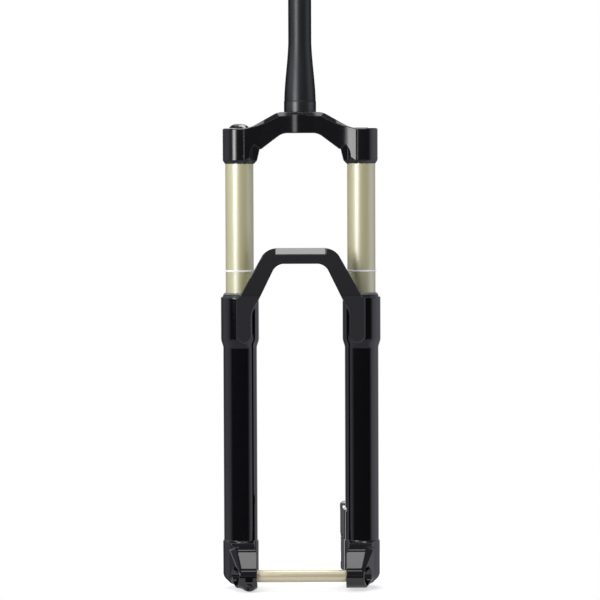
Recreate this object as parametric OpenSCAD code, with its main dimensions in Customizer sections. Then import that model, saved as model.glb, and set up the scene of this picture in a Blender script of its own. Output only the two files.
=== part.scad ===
// Air-sprung bicycle suspension fork with a tapered steerer and a 15 mm thru axle.
// The origin is on the steerer axis at the crown race seat and +Z is up. The fork faces -Y.
// The rider's right leg, with the damper, is at -X. The left leg, with the air spring, is at +X.

/* [Steerer] */
// Diameter of the straight upper steerer
steerer_d = 28.6; // [25.4:0.1:30]
// Wall of the straight upper steerer
steerer_wall = 2.3; // [1.5:0.1:3]
// Height of the steerer's end above the crown race seat
steerer_h = 265; // [150:1:300]
// Height above the race seat where the taper ends
taper_h = 78; // [50:1:110]
// Diameter of the crown race seat
race_seat_d = 39.8; // [39:0.1:41]
// Height of the crown race seat
race_seat_h = 13; // [8:0.5:16]
// Step in from the race seat to the foot of the taper
race_seat_step = 0.4; // [0.2:0.1:1]
// Diameter of the spigot that is pressed into the crown
spigot_d = 38; // [35:0.1:38.8]
// Bore of the steerer at its foot
steerer_root_bore_d = 30; // [26:0.5:33]

/* [Crown] */
// Thickness of the crown round the steerer
crown_mid_h = 26.1; // [22:0.1:32]
// Radius of the boss round the steerer
crown_boss_r = 26; // [24:0.1:30]
// Half width of the flat on top of the crown
crown_top_x = 27.5; // [25:0.5:32]
// Half width of the flat under the crown
crown_under_x = 22; // [18:0.5:26]
// Depth of the crown's arms from front to back
crown_arm_depth = 34; // [26:0.5:40]
// Drop from the race seat to the tops of the clamps
clamp_drop = 20; // [14:0.1:26]
// Height of the stanchion clamps
clamp_h = 42.3; // [38:0.1:52]
// Wall of the stanchion clamps
clamp_wall = 3.1; // [2.4:0.1:4.5]
// Height of the chamfer on the clamps' lower edges
clamp_chamfer_h = 4; // [2:0.5:8]
// Width of the chamfer on the clamps' lower edges
clamp_chamfer_w = 2.7; // [1:0.1:2.8]
// Bevel on the clamps' upper edges
clamp_edge = 1.2; // [0.5:0.1:2]
// Height of the arms where they run into the clamps
crown_arm_root_h = 27.2; // [20:0.1:34]

/* [Stanchions] */
// Diameter of the stanchions
stanchion_d = 35; // [33:0.5:36]
// Wall of the stanchions
stanchion_wall = 2.5; // [1.8:0.1:2.8]
// Distance between the stanchion axes
stanchion_spacing = 151; // [146:1:158]
// Distance of the stanchion axes in front of the steerer axis
crown_offset = 8; // [4:0.5:10]
// Depth of the stanchions' upper ends below the clamp tops
stanchion_recess = 2; // [1:0.1:3]
// Length of stanchion below the top of the wipers
stanchion_insert = 181.5; // [175:0.5:200]
// Suspension travel
travel = 150; // [120:5:170]
// Stanchion left showing between clamp and wiper at full travel
crown_margin = 11.2; // [7:0.1:20]
// Room between the stanchion ends and the leg floor at full travel
bottom_room = 11; // [10.5:0.5:20]

/* [Travel rings] */
// Thickness of the travel rings
ring_section = 2; // [1.5:0.1:3]
// Height of the travel rings above the wipers
ring_height = 26.5; // [20:0.5:30]

/* [Seals and bushings] */
// Wall of the press-in bushings
bushing_wall = 1.45; // [1:0.05:1.6]
// Length of each bushing
bushing_l = 20; // [12:1:24]
// Depth of the upper bushings' tops below the leg tops
upper_bushing_depth = 21.5; // [20.5:0.5:28]
// Depth of the lower bushings' tops below the leg tops
lower_bushing_depth = 146.5; // [120:0.5:148]
// Wall of the wipers where they are pressed into the legs
seal_wall = 4; // [3.4:0.1:4.4]
// Height of the wiper lip above the leg
wiper_lip_h = 5; // [3:0.5:7]
// Wall of the wiper lip
wiper_lip_wall = 2.6; // [2:0.1:3.2]
// Depth of the wiper in the leg
wiper_depth = 10.5; // [7:0.5:11]
// Height of the foam rings
foam_h = 9; // [5:0.5:9]
// Depth of the pocket that holds the wiper and the foam ring
seal_pocket_depth = 20; // [20:0.5:20.5]

/* [Lower legs] */
// Wall of the leg collars round the wipers
collar_wall = 2.25; // [1.8:0.05:3]
// Height of the leg collars
collar_h = 54; // [46:0.5:60]
// Height of the cone below each collar
collar_cone_h = 8; // [4:0.5:12]
// Wall of the legs
leg_wall = 2; // [1.6:0.1:2.6]
// Wall of the thicker leg feet
foot_wall = 3.3; // [2.8:0.1:4]
// Height of the feet above the axle
foot_rise = 40; // [32:0.5:46]
// Drop of the feet below the axle
foot_drop = 15; // [14.8:0.1:18]
// Width and height of the chamfer under the feet
foot_chamfer = 17; // [10:0.5:18]
// Thickness of the floor in each leg
leg_floor_t = 8; // [6:0.5:9]
// Height of the floor's upper face above the axle
leg_floor_rise = 6.8; // [5:0.1:8]
// Diameter of the recess below the floor
foot_recess_d = 19; // [17:0.5:20]

/* [Arch] */
// Rise of the arch above the leg tops
arch_rise = 61.3; // [55:0.1:70]
// Height of the arch's bar
arch_bar = 19; // [14:0.5:24]
// Thickness of the arch from front to back
arch_depth = 22; // [16:0.5:26]
// Distance from the stanchion axes forward to the back of the arch
arch_reach = 28; // [26:0.5:32]
// Slope of the arch's outer edges
arch_outer_slope = 60.7; // [56:0.1:65]
// Slope of the arch's inner edges
arch_inner_slope = 63.9; // [58:0.1:68]
// Radius of the arch's outer shoulders
arch_outer_r = 19.3; // [12:0.1:24]
// Radius of the arch's inner corners
arch_inner_r = 14.4; // [8:0.1:18]
// Distance of the arch's outer edges outside the stanchion axes at the leg tops
arch_foot_out = 1; // [0:0.1:3]
// Distance of the arch's inner edges inside the stanchion axes at the leg tops
arch_foot_in = 24.9; // [22:0.1:26]
// Height of the bevel along the arch's upper front edge
arch_bevel_h = 7.3; // [4:0.1:10]
// Depth of the bevel along the arch's upper front edge
arch_bevel_depth = 16; // [10:0.5:18]
// Length of the arch's roots down the collars
arch_root_l = 55.5; // [44:0.5:60]
// Height above the leg tops where the arch's front begins to slope back
arch_front_rise = 16.6; // [10:0.1:30]
// Height of the roots above the collars where they end
arch_root_proud = 2; // [1:0.1:3]
// Width of the arch's roots
arch_root_w = 16.6; // [12:0.1:20]
// Distance of the roots' middles inside the stanchion axes
arch_root_in = 5.8; // [4:0.1:8]

/* [Dropouts and axle] */
// Diameter of the axle
axle_d = 15; // [12:0.5:15]
// Gap between the dropouts for the hub
hub_w = 110; // [100:1:112]
// Distance of the axle in front of the steerer axis
fork_offset = 44; // [42:0.5:52]
// Radius of the dropouts round the axle
lug_nose_r = 14.8; // [14:0.1:15.5]
// Downward slope of the dropouts' upper faces
lug_slope = 44; // [40:0.5:46]
// Distance of the ledge at the top of the dropouts in front of the legs
lug_ledge = 2; // [1:0.1:4]
// Height of the ledge at the top of the dropouts
lug_ledge_h = 3.5; // [2:0.1:5]
// Angle of the dropouts' outer faces, which run on from the sides of the feet
lug_draft = 21.8; // [18:0.1:26]
// Set-back of the dropouts' inner faces at the legs
lug_inner_step = 3.5; // [2:0.1:4]
// Length of the ramp at the back of the dropouts' inner faces
lug_ramp_l = 7; // [4:0.5:10]
// Depth of the round recesses in the dropouts' outer faces
lug_recess_depth = 3; // [2:0.1:4]
// Diameter of the round recesses in the dropouts' outer faces
lug_recess_d = 23; // [20.5:0.5:24]
// Diameter of the axle's threaded end
axle_thread_d = 13.9; // [10:0.1:14]
// Wall of the threaded insert
insert_wall = 2.5; // [1.5:0.1:3]
// Width of the hexagon socket in the axle
axle_socket_w = 6; // [5:0.5:8]
// Depth of the hexagon socket in the axle
axle_socket_depth = 12; // [8:0.5:20]
// Drop of the pinch bolt below the axle
pinch_drop = 12.6; // [12.2:0.1:15]
// Distance of the pinch bolt outside the dropout's inner face
pinch_in = 9.8; // [8:0.1:12]
// Diameter of the pinch bolt
pinch_bolt_d = 5; // [4:0.5:6]
// Diameter of the pinch bolt's head
pinch_head_d = 8.7; // [7.5:0.1:10]
// Height of the pinch bolt's head
pinch_head_h = 5; // [4:0.5:6]
// Wall of the lobe round the pinch bolt
pinch_wall = 1.2; // [0.8:0.1:2]
// Width of the pinch slit
pinch_slit = 1.5; // [1:0.1:2.5]
// Length of the pinch lobe from front to back
pinch_lobe_l = 24; // [20:0.5:26]

/* [Brake mount] */
// Distance between the two brake bolt holes
post_spacing = 74.2; // [70:0.1:80]
// Height of the lower brake hole above the axle
post_rise = 4.6; // [2:0.1:7]
// Diameter of the brake bolt holes
post_hole_d = 5.2; // [4.2:0.1:6]
// Radius of the brake bosses
post_r = 6.2; // [5:0.1:7]
// Distance of the brake holes inside the leg axis
post_in = 21.5; // [20:0.1:23]
// Distance of the boss faces behind the leg axis
post_back = 40; // [34:0.5:46]
// Distance of the boss fronts behind the leg axis
post_front = 10; // [8:0.5:14]
// Length by which the bosses stand behind the web
post_stand = 9; // [5:0.5:12]
// Width and depth of the raised edge down the upper half of the web
post_rim = 2.2; // [1.5:0.1:3]

/* [Damper] */
// Outer diameter of the damper tube
damper_tube_d = 27; // [25:0.5:29]
// Wall of the damper tube
damper_tube_wall = 1.5; // [1:0.1:2]
// Diameter of the damper and air shafts
shaft_d = 10; // [8:0.5:11]
// Diameter of the rebound rod in the damper shaft
rebound_rod_d = 4; // [3:0.1:5]
// Diameter of the needle that turns in the compression valve
needle_d = 4; // [3:0.1:5]
// Diameter of the compression dial
dial_d = 24.8; // [20:0.1:26]
// Height of the compression dial above its cap
dial_h = 5.6; // [4:0.1:8]
// Diameter of the dial's stem
dial_stem_d = 8; // [7:0.1:10]
// Number of finger notches round the dial
dial_notches = 10; // [6:1:14]
// Diameter of the screw in the dial
dial_screw_d = 4; // [3:0.1:5]
// Height of the screw in the dial
dial_screw_h = 3; // [2.4:0.1:4]
// Depth of the top caps in the stanchions
top_cap_depth = 22; // [18:0.5:26]
// Distance from the top cap to the compression valve
valve_drop = 16; // [10:0.5:24]
// Wall of the neck that carries the compression valve
valve_neck_wall = 3; // [2:0.1:4]
// Length of the bladder
bladder_l = 78; // [40:1:84]
// Wall of the bladder
bladder_wall = 1.5; // [1:0.1:2]
// Height of both pistons
piston_h = 12; // [8:0.5:14]
// Height of both seal heads
seal_head_h = 12.4; // [9:0.1:14]
// Thickness of the circlips
circlip_t = 1.5; // [1:0.1:2]
// Depth of the circlip grooves in the stanchions
circlip_groove = 0.7; // [0.5:0.1:1]
// Width of the circlips
circlip_w = 2.3; // [1.6:0.1:3]
// Opening between the circlips' ends
circlip_opening = 5; // [3:0.5:8]
// Stanchion left below the circlips
circlip_margin = 3; // [2:0.1:5]
// Diameter of the rebound dial
rebound_dial_d = 12; // [11:0.5:15]
// Height of the rebound dial
rebound_dial_h = 5; // [5:0.1:8]
// Height of the foot nut and of the foot bolt's head
foot_nut_h = 7; // [5:0.5:7.5]
// Width across the corners of the foot nut
foot_nut_w = 15; // [13:0.5:15.5]
// Margin of the crush washers beyond the foot nut
washer_margin = 1; // [0.5:0.1:1.5]
// Thickness of the crush washers
washer_t = 1.5; // [1:0.1:2]

/* [Air spring] */
// Diameter of the air cap
air_cap_d = 19; // [16:0.5:22]
// Height of the air cap above the clamp
air_cap_proud = 0.8; // [0.4:0.1:2]
// Wall of the air cap's top
air_cap_wall = 1.5; // [1:0.1:2]
// Depth of the air cap's recess
air_recess_depth = 7; // [6:0.1:9]
// Diameter of the air valve
air_valve_d = 8; // [6:0.5:9]
// Height of each volume spacer
spacer_h = 12; // [8:0.5:15]
// Number of volume spacers
spacer_count = 2; // [1:1:3]
// Height of the top-out bumper
top_out_h = 11.4; // [8:0.1:14]
// Wall of the top-out bumper
top_out_wall = 4; // [2:0.5:6]
// Height of the bottom-out bumpers
bottom_out_h = 9; // [6:0.5:9.5]
// Diameter of the air foot bolt
foot_bolt_d = 7; // [5:0.5:7.5]
// Length of the air foot bolt in the air shaft
foot_bolt_l = 22; // [14:1:30]
// Height of the air piston's seal
piston_seal_h = 3.5; // [2:0.1:4]
// Depth of the groove that holds the air piston's seal
piston_groove = 2; // [1:0.1:3]

/* [Fits] */
// Clearance on the radius of parts that slide or turn
run_gap = 0.05; // [0.02:0.01:0.1]
// Clearance on the radius of parts that are pressed or screwed in
fit_gap = 0.03; // [0.01:0.01:0.06]
// Clearance between parts that move past each other without a fit
free_gap = 0.3; // [0.3:0.05:0.6]

/* [Hidden] */
$fn = 96;
over = 1;
black = "#1a1a1d";
gold = "#c9b98d";
steel = "#9a9ca0";

// Levels and radii that the pieces share
axis_x = stanchion_spacing / 2;
axis_y = -crown_offset;
stanchion_r = stanchion_d / 2;
stanchion_bore_r = stanchion_r - stanchion_wall;
clamp_r = stanchion_r + clamp_wall;
clamp_top = -clamp_drop;
clamp_bottom = clamp_top - clamp_h;
stanchion_top = clamp_top - stanchion_recess;
wiper_top = clamp_bottom - travel - crown_margin;
leg_top = wiper_top - wiper_lip_h;
stanchion_bottom = wiper_top - stanchion_insert;
floor_z = stanchion_bottom - travel - bottom_room;
floor_bottom = floor_z - leg_floor_t;
axle_z = floor_z - leg_floor_rise;
axle_y = -fork_offset;
foot_z = axle_z - foot_drop;
slide_r = stanchion_r + run_gap;
bushing_r = slide_r + bushing_wall;
leg_bore_r = bushing_r + fit_gap;
leg_r = leg_bore_r + leg_wall;
foot_r = leg_bore_r + foot_wall;
pocket_r = stanchion_r + seal_wall;
collar_r = pocket_r + collar_wall;
cap_bottom = stanchion_top - top_cap_depth;
cap_r = stanchion_bore_r - fit_gap;
tube_r = damper_tube_d / 2;
tube_bore_r = tube_r - damper_tube_wall;
circlip_z = stanchion_bottom + circlip_margin;
seal_head_z = circlip_z + circlip_t;
seal_head_top = seal_head_z + seal_head_h;
shaft_r = shaft_d / 2;
top_out_z = seal_head_top + free_gap;
piston_z = top_out_z + top_out_h;
piston_top = piston_z + piston_h;
damper_piston_z = piston_z + free_gap;
valve_z = cap_bottom - valve_drop;
valve_bottom = valve_z - piston_h;
seal_groove_z = piston_z + (piston_h - piston_seal_h) / 2;
nut_top = floor_bottom - washer_t;
nut_bottom = nut_top - foot_nut_h;
lug_in = hub_w / 2;
lug_end = axis_x - lug_recess_depth;
insert_r = axle_thread_d / 2 + run_gap + insert_wall;
arch_back_y = axis_y - arch_reach;
arch_front_y = arch_back_y - arch_depth;
arch_top = leg_top + arch_rise;
post_x = axis_x - post_in;
post_z = axle_z + post_rise;
pinch_x = -lug_in - pinch_in;
pinch_z = axle_z - pinch_drop;
pinch_front_y = axle_y - pinch_lobe_l / 2;

// Points of an arc about a centre, from one angle to another
function arc(cx, cy, r, from, to, steps = 10) =
    [for (i = [0:steps]) let (a = from + (to - from) * i / steps) [cx + r * cos(a), cy + r * sin(a)]];

// An outline of the right half, carried round to the left half
function both_halves(half) = concat(half, [for (i = [len(half) - 1:-1:0]) [-half[i].x, half[i].y]]);

// Moves what is drawn on the Z axis to the rider's right (-1) or left (1) leg
module on_leg(side) translate([side * axis_x, axis_y, 0]) children();

// Mirrors what is drawn on the left side when the right side is asked for
module on_side(side) {
    if (side < 0) mirror([1, 0, 0]) children();
    else children();
}

// A round tube about Z between two levels
module tube(r, bore, low, high) {
    translate([0, 0, low]) difference() {
        cylinder(r = r, h = high - low);
        translate([0, 0, -over]) cylinder(r = bore, h = high - low + 2 * over);
    }
}

// A round bar about Z between two levels
module bar(r, low, high) translate([0, 0, low]) cylinder(r = r, h = high - low);

// A round bar along Y between two places
module bar_y(r, x, z, front, back) {
    translate([x, back, z]) rotate([90, 0, 0]) cylinder(r = r, h = back - front);
}

// A round bar along X on the axle line between two places
module axle_bar(r, from, to) {
    translate([from, axle_y, axle_z]) rotate([0, 90, 0]) cylinder(r = r, h = to - from);
}

// A front outline drawn in X and Z, given its depth along Y
module along_y(front, back) {
    translate([0, back, 0]) rotate([90, 0, 0]) linear_extrude(back - front) children();
}

// A side outline drawn in Y and Z, given its width along X
module along_x(from, to) translate([from, 0, 0]) rotate([90, 0, 90]) linear_extrude(to - from) children();

module steerer_tube() {
    race_r = race_seat_d / 2;
    taper_r = race_r - race_seat_step;
    top_r = steerer_d / 2;
    bore_r = top_r - steerer_wall;
    root_bore_r = steerer_root_bore_d / 2;
    spigot_r = spigot_d / 2;
    color(black) rotate_extrude() polygon([
        [root_bore_r, -crown_mid_h], [spigot_r, -crown_mid_h], [spigot_r, 0], [race_r, 0],
        [race_r, race_seat_h], [taper_r, race_seat_h], [top_r, taper_h], [top_r, steerer_h],
        [bore_r, steerer_h], [bore_r, taper_h], [root_bore_r, race_seat_h]]);
}

module crown_arms() {
    wall_x = axis_x - clamp_r - clamp_edge;
    root_z = clamp_top - crown_arm_root_h;
    shoulder_x = axis_x - stanchion_bore_r;
    arm_back = axis_y + clamp_r - clamp_wall;
    along_y(arm_back - crown_arm_depth, arm_back) polygon(both_halves([
        [crown_top_x, 0], [shoulder_x, clamp_top], [axis_x, clamp_top],
        [axis_x, clamp_bottom + clamp_chamfer_h], [wall_x, clamp_bottom + clamp_chamfer_h],
        [wall_x - clamp_chamfer_w, root_z], [crown_under_x, -crown_mid_h]]));
}

module clamp_body() {
    rotate_extrude() polygon([
        [0, clamp_bottom], [clamp_r - clamp_chamfer_w, clamp_bottom],
        [clamp_r, clamp_bottom + clamp_chamfer_h], [clamp_r, clamp_top - clamp_edge],
        [clamp_r - clamp_edge, clamp_top], [0, clamp_top]]);
}

module crown() {
    color(black) difference() {
        union() {
            bar(crown_boss_r, -crown_mid_h, 0);
            crown_arms();
            for (side = [-1, 1]) on_leg(side) clamp_body();
        }
        bar(spigot_d / 2 + fit_gap, -crown_mid_h - over, over);
        for (side = [-1, 1]) on_leg(side) bar(stanchion_r + fit_gap, clamp_bottom - over, clamp_top + over);
    }
}

module stanchion(side) {
    color(gold) on_leg(side) difference() {
        tube(stanchion_r, stanchion_bore_r, stanchion_bottom, stanchion_top);
        bar(stanchion_bore_r + circlip_groove, circlip_z, seal_head_z);
    }
}

module stanchion_right() stanchion(-1);

module stanchion_left() stanchion(1);

// A screwed-in cap with its flange flush with the clamp top
module top_cap() {
    bar(cap_r, cap_bottom, stanchion_top);
    bar(stanchion_r - fit_gap, stanchion_top, clamp_top);
}

module damper_top_cap() {
    color(black) on_leg(-1) difference() {
        top_cap();
        bar(dial_stem_d / 2 + run_gap, cap_bottom - over, clamp_top + over);
    }
}

module damper_tube() color(steel) on_leg(-1) tube(tube_r, tube_bore_r, seal_head_top, cap_bottom);

module compression_valve() {
    ports = 6;
    port_r = 1.2;
    port_ring_r = (tube_bore_r + dial_stem_d / 2) / 2;
    color(steel) on_leg(-1) difference() {
        union() {
            bar(tube_bore_r - fit_gap, valve_bottom, valve_z);
            bar(dial_stem_d / 2 + valve_neck_wall, valve_z, cap_bottom);
        }
        bar(needle_d / 2 + run_gap, valve_bottom - over, cap_bottom + over);
        for (i = [0:ports - 1]) rotate(i * 360 / ports) translate([port_ring_r, 0, 0])
            bar(port_r, valve_bottom - over, valve_z + over);
    }
}

module damper_bladder() {
    bladder_r = tube_bore_r - bladder_wall;
    bladder_end = valve_bottom - bladder_l;
    color("#2c2c30") on_leg(-1) difference() {
        bar(bladder_r, bladder_end, valve_bottom);
        bar(bladder_r - bladder_wall, bladder_end + bladder_wall, valve_bottom + over);
    }
}

// A seal head in the stanchion's lower end, with the shaft running through it
module seal_head() {
    color(steel) difference() {
        bar(cap_r, seal_head_z, seal_head_top);
        bar(shaft_r + run_gap, seal_head_z - over, seal_head_top + over);
    }
}

module damper_seal_head() on_leg(-1) seal_head();

module air_seal_head() on_leg(1) seal_head();

module seal_head_circlips() {
    clip_r = stanchion_bore_r + circlip_groove - fit_gap;
    color(steel) for (side = [-1, 1]) on_leg(side) difference() {
        tube(clip_r, clip_r - circlip_w, circlip_z, seal_head_z);
        translate([-circlip_opening / 2, 0, circlip_z - over])
            cube([circlip_opening, clip_r + over, circlip_t + 2 * over]);
    }
}

module air_top_cap() {
    color(black) on_leg(1) difference() {
        top_cap();
        bar(air_cap_d / 2 + free_gap, clamp_top - air_recess_depth, clamp_top + over);
        bar(air_valve_d / 2 + fit_gap, cap_bottom - over, clamp_top);
    }
}

module air_valve() {
    core_r = 1.6;
    valve_top = clamp_top + air_cap_proud - air_cap_wall - free_gap;
    color("#b99b56") on_leg(1) tube(air_valve_d / 2, core_r, cap_bottom, valve_top);
}

module volume_spacers() {
    color("#3b4a63") on_leg(1) for (i = [0:spacer_count - 1]) {
        high = cap_bottom - i * spacer_h - (i > 0 ? fit_gap : 0);
        tube(cap_r - free_gap, air_valve_d / 2, cap_bottom - (i + 1) * spacer_h, high);
    }
}

module compression_dial() {
    dial_r = dial_d / 2;
    rim_z = clamp_top + free_gap;
    dial_top = clamp_top + dial_h;
    dome_r = dial_h - free_gap;
    notch_r = 2.4;
    notch_out = 1.5;
    color(black) on_leg(-1) difference() {
        rotate_extrude() polygon(concat(
            [[0, cap_bottom], [dial_stem_d / 2, cap_bottom], [dial_stem_d / 2, rim_z], [dial_r, rim_z]],
            arc(dial_r - dome_r, rim_z, dome_r, 10, 90), [[0, dial_top]]));
        for (i = [0:dial_notches - 1]) rotate(i * 360 / dial_notches)
            translate([dial_r + notch_out, 0, 0]) bar(notch_r, clamp_top, dial_top + over);
        bar(dial_screw_d / 2 + fit_gap, dial_top - dial_screw_h, dial_top + over);
    }
}

module compression_needle() {
    color(steel) on_leg(-1) bar(needle_d / 2, valve_bottom, cap_bottom);
}

module dial_screw() {
    dial_top = clamp_top + dial_h;
    head_sink = 0.2;
    socket_w = 2;
    socket_depth = 1.4;
    color(steel) on_leg(-1) difference() {
        bar(dial_screw_d / 2, dial_top - dial_screw_h, dial_top - head_sink);
        translate([0, 0, dial_top - socket_depth])
            cylinder(d = socket_w / cos(30), h = dial_screw_h, $fn = 6);
    }
}

module air_cap() {
    bevel = 0.6;
    cap_top = clamp_top + air_cap_proud;
    cap_foot = clamp_top - air_recess_depth + free_gap;
    color("#26272b") on_leg(1) difference() {
        rotate_extrude() polygon([
            [0, cap_foot], [air_cap_d / 2, cap_foot], [air_cap_d / 2, cap_top - bevel],
            [air_cap_d / 2 - bevel, cap_top], [0, cap_top]]);
        bar(air_valve_d / 2 + free_gap, cap_foot - over, cap_top - air_cap_wall);
    }
}

module travel_ring(side) {
    section_r = ring_section / 2;
    color("#f2f2f0") on_leg(side) translate([0, 0, wiper_top + ring_height])
        rotate_extrude() translate([slide_r + section_r, 0]) circle(r = section_r);
}

module travel_ring_right() travel_ring(-1);

module travel_ring_left() travel_ring(1);

// One leg from its collar to its rounded foot, still solid
module leg_body() {
    lip = 1;
    cone_top = leg_top - collar_h;
    rotate_extrude() polygon([
        [0, foot_z], [foot_r - foot_chamfer, foot_z], [foot_r, foot_z + foot_chamfer],
        [foot_r, axle_z + foot_rise], [leg_r, axle_z + foot_rise + 2 * (foot_r - leg_r)],
        [leg_r, cone_top - collar_cone_h], [collar_r, cone_top], [collar_r, leg_top - lip],
        [collar_r - lip, leg_top], [0, leg_top]]);
}

// The space in one leg for the seals, bushings and stanchion
module leg_bore() {
    pocket_z = leg_top - seal_pocket_depth;
    rotate_extrude() polygon([
        [0, leg_top + over], [pocket_r, leg_top + over], [pocket_r, pocket_z], [leg_bore_r, pocket_z],
        [leg_bore_r, floor_z], [0, floor_z]]);
}

module arch() {
    rise = arch_rise - arch_bar;
    out_x = axis_x + arch_foot_out;
    in_x = axis_x - arch_foot_in;
    out_back = arch_outer_r * tan(arch_outer_slope / 2);
    in_back = arch_inner_r * tan(arch_inner_slope / 2);
    out_cx = out_x - arch_rise / tan(arch_outer_slope) - out_back;
    in_cx = in_x - rise / tan(arch_inner_slope) - in_back;
    root_r = arch_root_w / 2;
    root_x = axis_x - arch_root_in;
    root_z = leg_top - arch_root_l;
    collar_front = axis_y - collar_r;
    intersection() {
        along_y(arch_front_y - over, axis_y) polygon(both_halves(concat(
            arc(out_cx, arch_top - arch_outer_r, arch_outer_r, 90, 90 - arch_outer_slope),
            [[out_x, leg_top]],
            arc(root_x, root_z + root_r, root_r, 0, -180),
            [[root_x - root_r, leg_top - arch_foot_in + root_r], [in_x, leg_top]],
            arc(in_cx, leg_top + rise - arch_inner_r, arch_inner_r, 90 - arch_inner_slope, 90))));
        along_x(-axis_x - collar_r, axis_x + collar_r) polygon([
            [arch_back_y, arch_top], [arch_front_y + arch_bevel_depth, arch_top],
            [arch_front_y, arch_top - arch_bevel_h], [arch_front_y, leg_top + arch_front_rise],
            [collar_front - arch_root_proud, root_z - over],
            [axis_y, root_z - over], [axis_y, leg_top], [arch_back_y, leg_top]]);
    }
}

// The left dropout, from the leg forward to the axle
module lug() {
    leg_front = axis_y - foot_r;
    top_y = axle_y - lug_nose_r * sin(lug_slope);
    top_z = axle_z + lug_nose_r * cos(lug_slope);
    nose_y = axle_y - lug_nose_r - over;
    ledge_y = leg_front - lug_ledge;
    ledge_z = top_z + (ledge_y - top_y) * tan(lug_slope);
    side_x = axis_x + foot_r * cos(lug_draft);
    side_y = axis_y - foot_r * sin(lug_draft);
    edge_x = axis_x + foot_r - foot_chamfer;
    high = foot_drop + foot_rise + foot_r;
    intersection() {
        along_x(lug_in, axis_x + foot_r) polygon(concat(
            [[axis_y, ledge_z + lug_ledge_h], [ledge_y, ledge_z + lug_ledge_h], [ledge_y, ledge_z]],
            arc(axle_y, axle_z, lug_nose_r, 90 + lug_slope, 270, 16),
            [[axis_y, axle_z - lug_nose_r]]));
        translate([0, 0, foot_z - over]) linear_extrude(high) polygon([
            [lug_in, nose_y], [side_x - (side_y - nose_y) * tan(lug_draft), nose_y], [side_x, side_y],
            [side_x, axis_y], [axis_x - foot_r + lug_inner_step, axis_y],
            [lug_in + lug_inner_step, leg_front], [lug_in, leg_front - lug_ramp_l]]);
        along_y(nose_y, axis_y) polygon([
            [lug_in, foot_z], [edge_x, foot_z], [edge_x + high, foot_z + high], [lug_in, foot_z + high]]);
    }
}

module pinch_lobe() {
    lobe_r = pinch_head_d / 2 + pinch_wall;
    bar_y(lobe_r, pinch_x, pinch_z, pinch_front_y, pinch_front_y + pinch_lobe_l);
    translate([pinch_x - lobe_r, pinch_front_y, pinch_z]) cube([2 * lobe_r, pinch_lobe_l, pinch_drop]);
}

// The two brake bosses behind the left leg, with the web that carries them
module brake_mount() {
    web_back = axis_y + post_back - post_stand;
    web_front = axis_y + post_front;
    high = post_spacing + 2 * (post_r + over);
    intersection() {
        along_y(axis_y, web_back) {
            for (i = [0, 1]) translate([post_x, post_z + i * post_spacing]) circle(r = post_r);
            translate([post_x - post_r, post_z]) square([2 * post_r, post_spacing]);
            translate([post_x, post_z - post_r]) square([post_in + leg_r / 2, high - 2 * over]);
        }
        translate([0, 0, post_z - post_r - over]) linear_extrude(high) polygon([
            [axis_x - leg_r, web_front], [post_x - post_r + post_rim, web_back],
            [post_x + post_r, web_back], [axis_x + leg_r / 2, axis_y + leg_r / 2], [axis_x, web_front]]);
    }
    translate([post_x - post_r, web_back - post_rim, post_z + post_spacing / 2])
        cube([2 * post_rim, post_rim, post_spacing / 2]);
    for (i = [0, 1]) bar_y(post_r, post_x, post_z + i * post_spacing, web_back - over, axis_y + post_back);
}

module lower_casting() {
    far = 2 * axis_x;
    recess_r = lug_recess_d / 2;
    color(black) difference() {
        union() {
            for (side = [-1, 1]) {
                on_leg(side) leg_body();
                on_side(side) lug();
            }
            arch();
            brake_mount();
            pinch_lobe();
        }
        for (side = [-1, 1]) {
            on_leg(side) leg_bore();
            on_leg(side) bar(foot_recess_d / 2, foot_z - over, floor_bottom);
            on_side(side) axle_bar(recess_r, lug_end, far);
        }
        on_leg(-1) bar(shaft_r + fit_gap, floor_bottom - over, floor_z + over);
        on_leg(1) bar(foot_bolt_d / 2 + fit_gap, floor_bottom - over, floor_z + over);
        axle_bar(axle_d / 2 + run_gap, -far, lug_in + over);
        axle_bar(insert_r + fit_gap, lug_in + over, far);
        translate([-far, axle_y - pinch_slit / 2, foot_z - pinch_drop])
            cube([far - lug_in + over, pinch_slit, axle_z - foot_z + pinch_drop]);
        bar_y(pinch_bolt_d / 2 + fit_gap, pinch_x, pinch_z, axle_y - lug_nose_r - over,
              pinch_front_y + pinch_lobe_l + over);
        bar_y(pinch_head_d / 2 + fit_gap, pinch_x, pinch_z, axle_y - lug_nose_r - over, pinch_front_y);
        for (i = [0, 1]) bar_y(post_hole_d / 2, post_x, post_z + i * post_spacing, axis_y + post_front - over,
                               axis_y + post_back + over);
    }
}

module dust_wiper(side) {
    body_r = pocket_r - fit_gap;
    lip_r = slide_r + wiper_lip_wall;
    lip_step_z = leg_top + wiper_lip_h / 2;
    groove = 0.6;
    color("#202022") on_leg(side) rotate_extrude() polygon([
        [slide_r, leg_top - wiper_depth], [body_r, leg_top - wiper_depth], [body_r, leg_top],
        [lip_r, leg_top], [lip_r, lip_step_z], [lip_r - groove, lip_step_z + groove],
        [lip_r - groove, wiper_top - groove], [slide_r + groove, wiper_top], [slide_r, wiper_top]]);
}

module dust_wiper_right() dust_wiper(-1);

module dust_wiper_left() dust_wiper(1);

module foam_ring(side) {
    high = leg_top - wiper_depth;
    color("#4a4a48") on_leg(side) tube(pocket_r - fit_gap, slide_r, high - foam_h, high);
}

module foam_ring_right() foam_ring(-1);

module foam_ring_left() foam_ring(1);

// A pair of bushings, one in each leg, with their tops at a depth below the leg tops
module bushing_pair(depth) {
    for (side = [-1, 1]) on_leg(side) color("#7d7a70")
        tube(bushing_r, slide_r, leg_top - depth - bushing_l, leg_top - depth);
}

module upper_bushings() bushing_pair(upper_bushing_depth);

module lower_bushings() bushing_pair(lower_bushing_depth);

module damper_shaft() {
    color(steel) on_leg(-1)
        tube(shaft_r, rebound_rod_d / 2 + run_gap, nut_bottom, damper_piston_z + piston_h);
}

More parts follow.
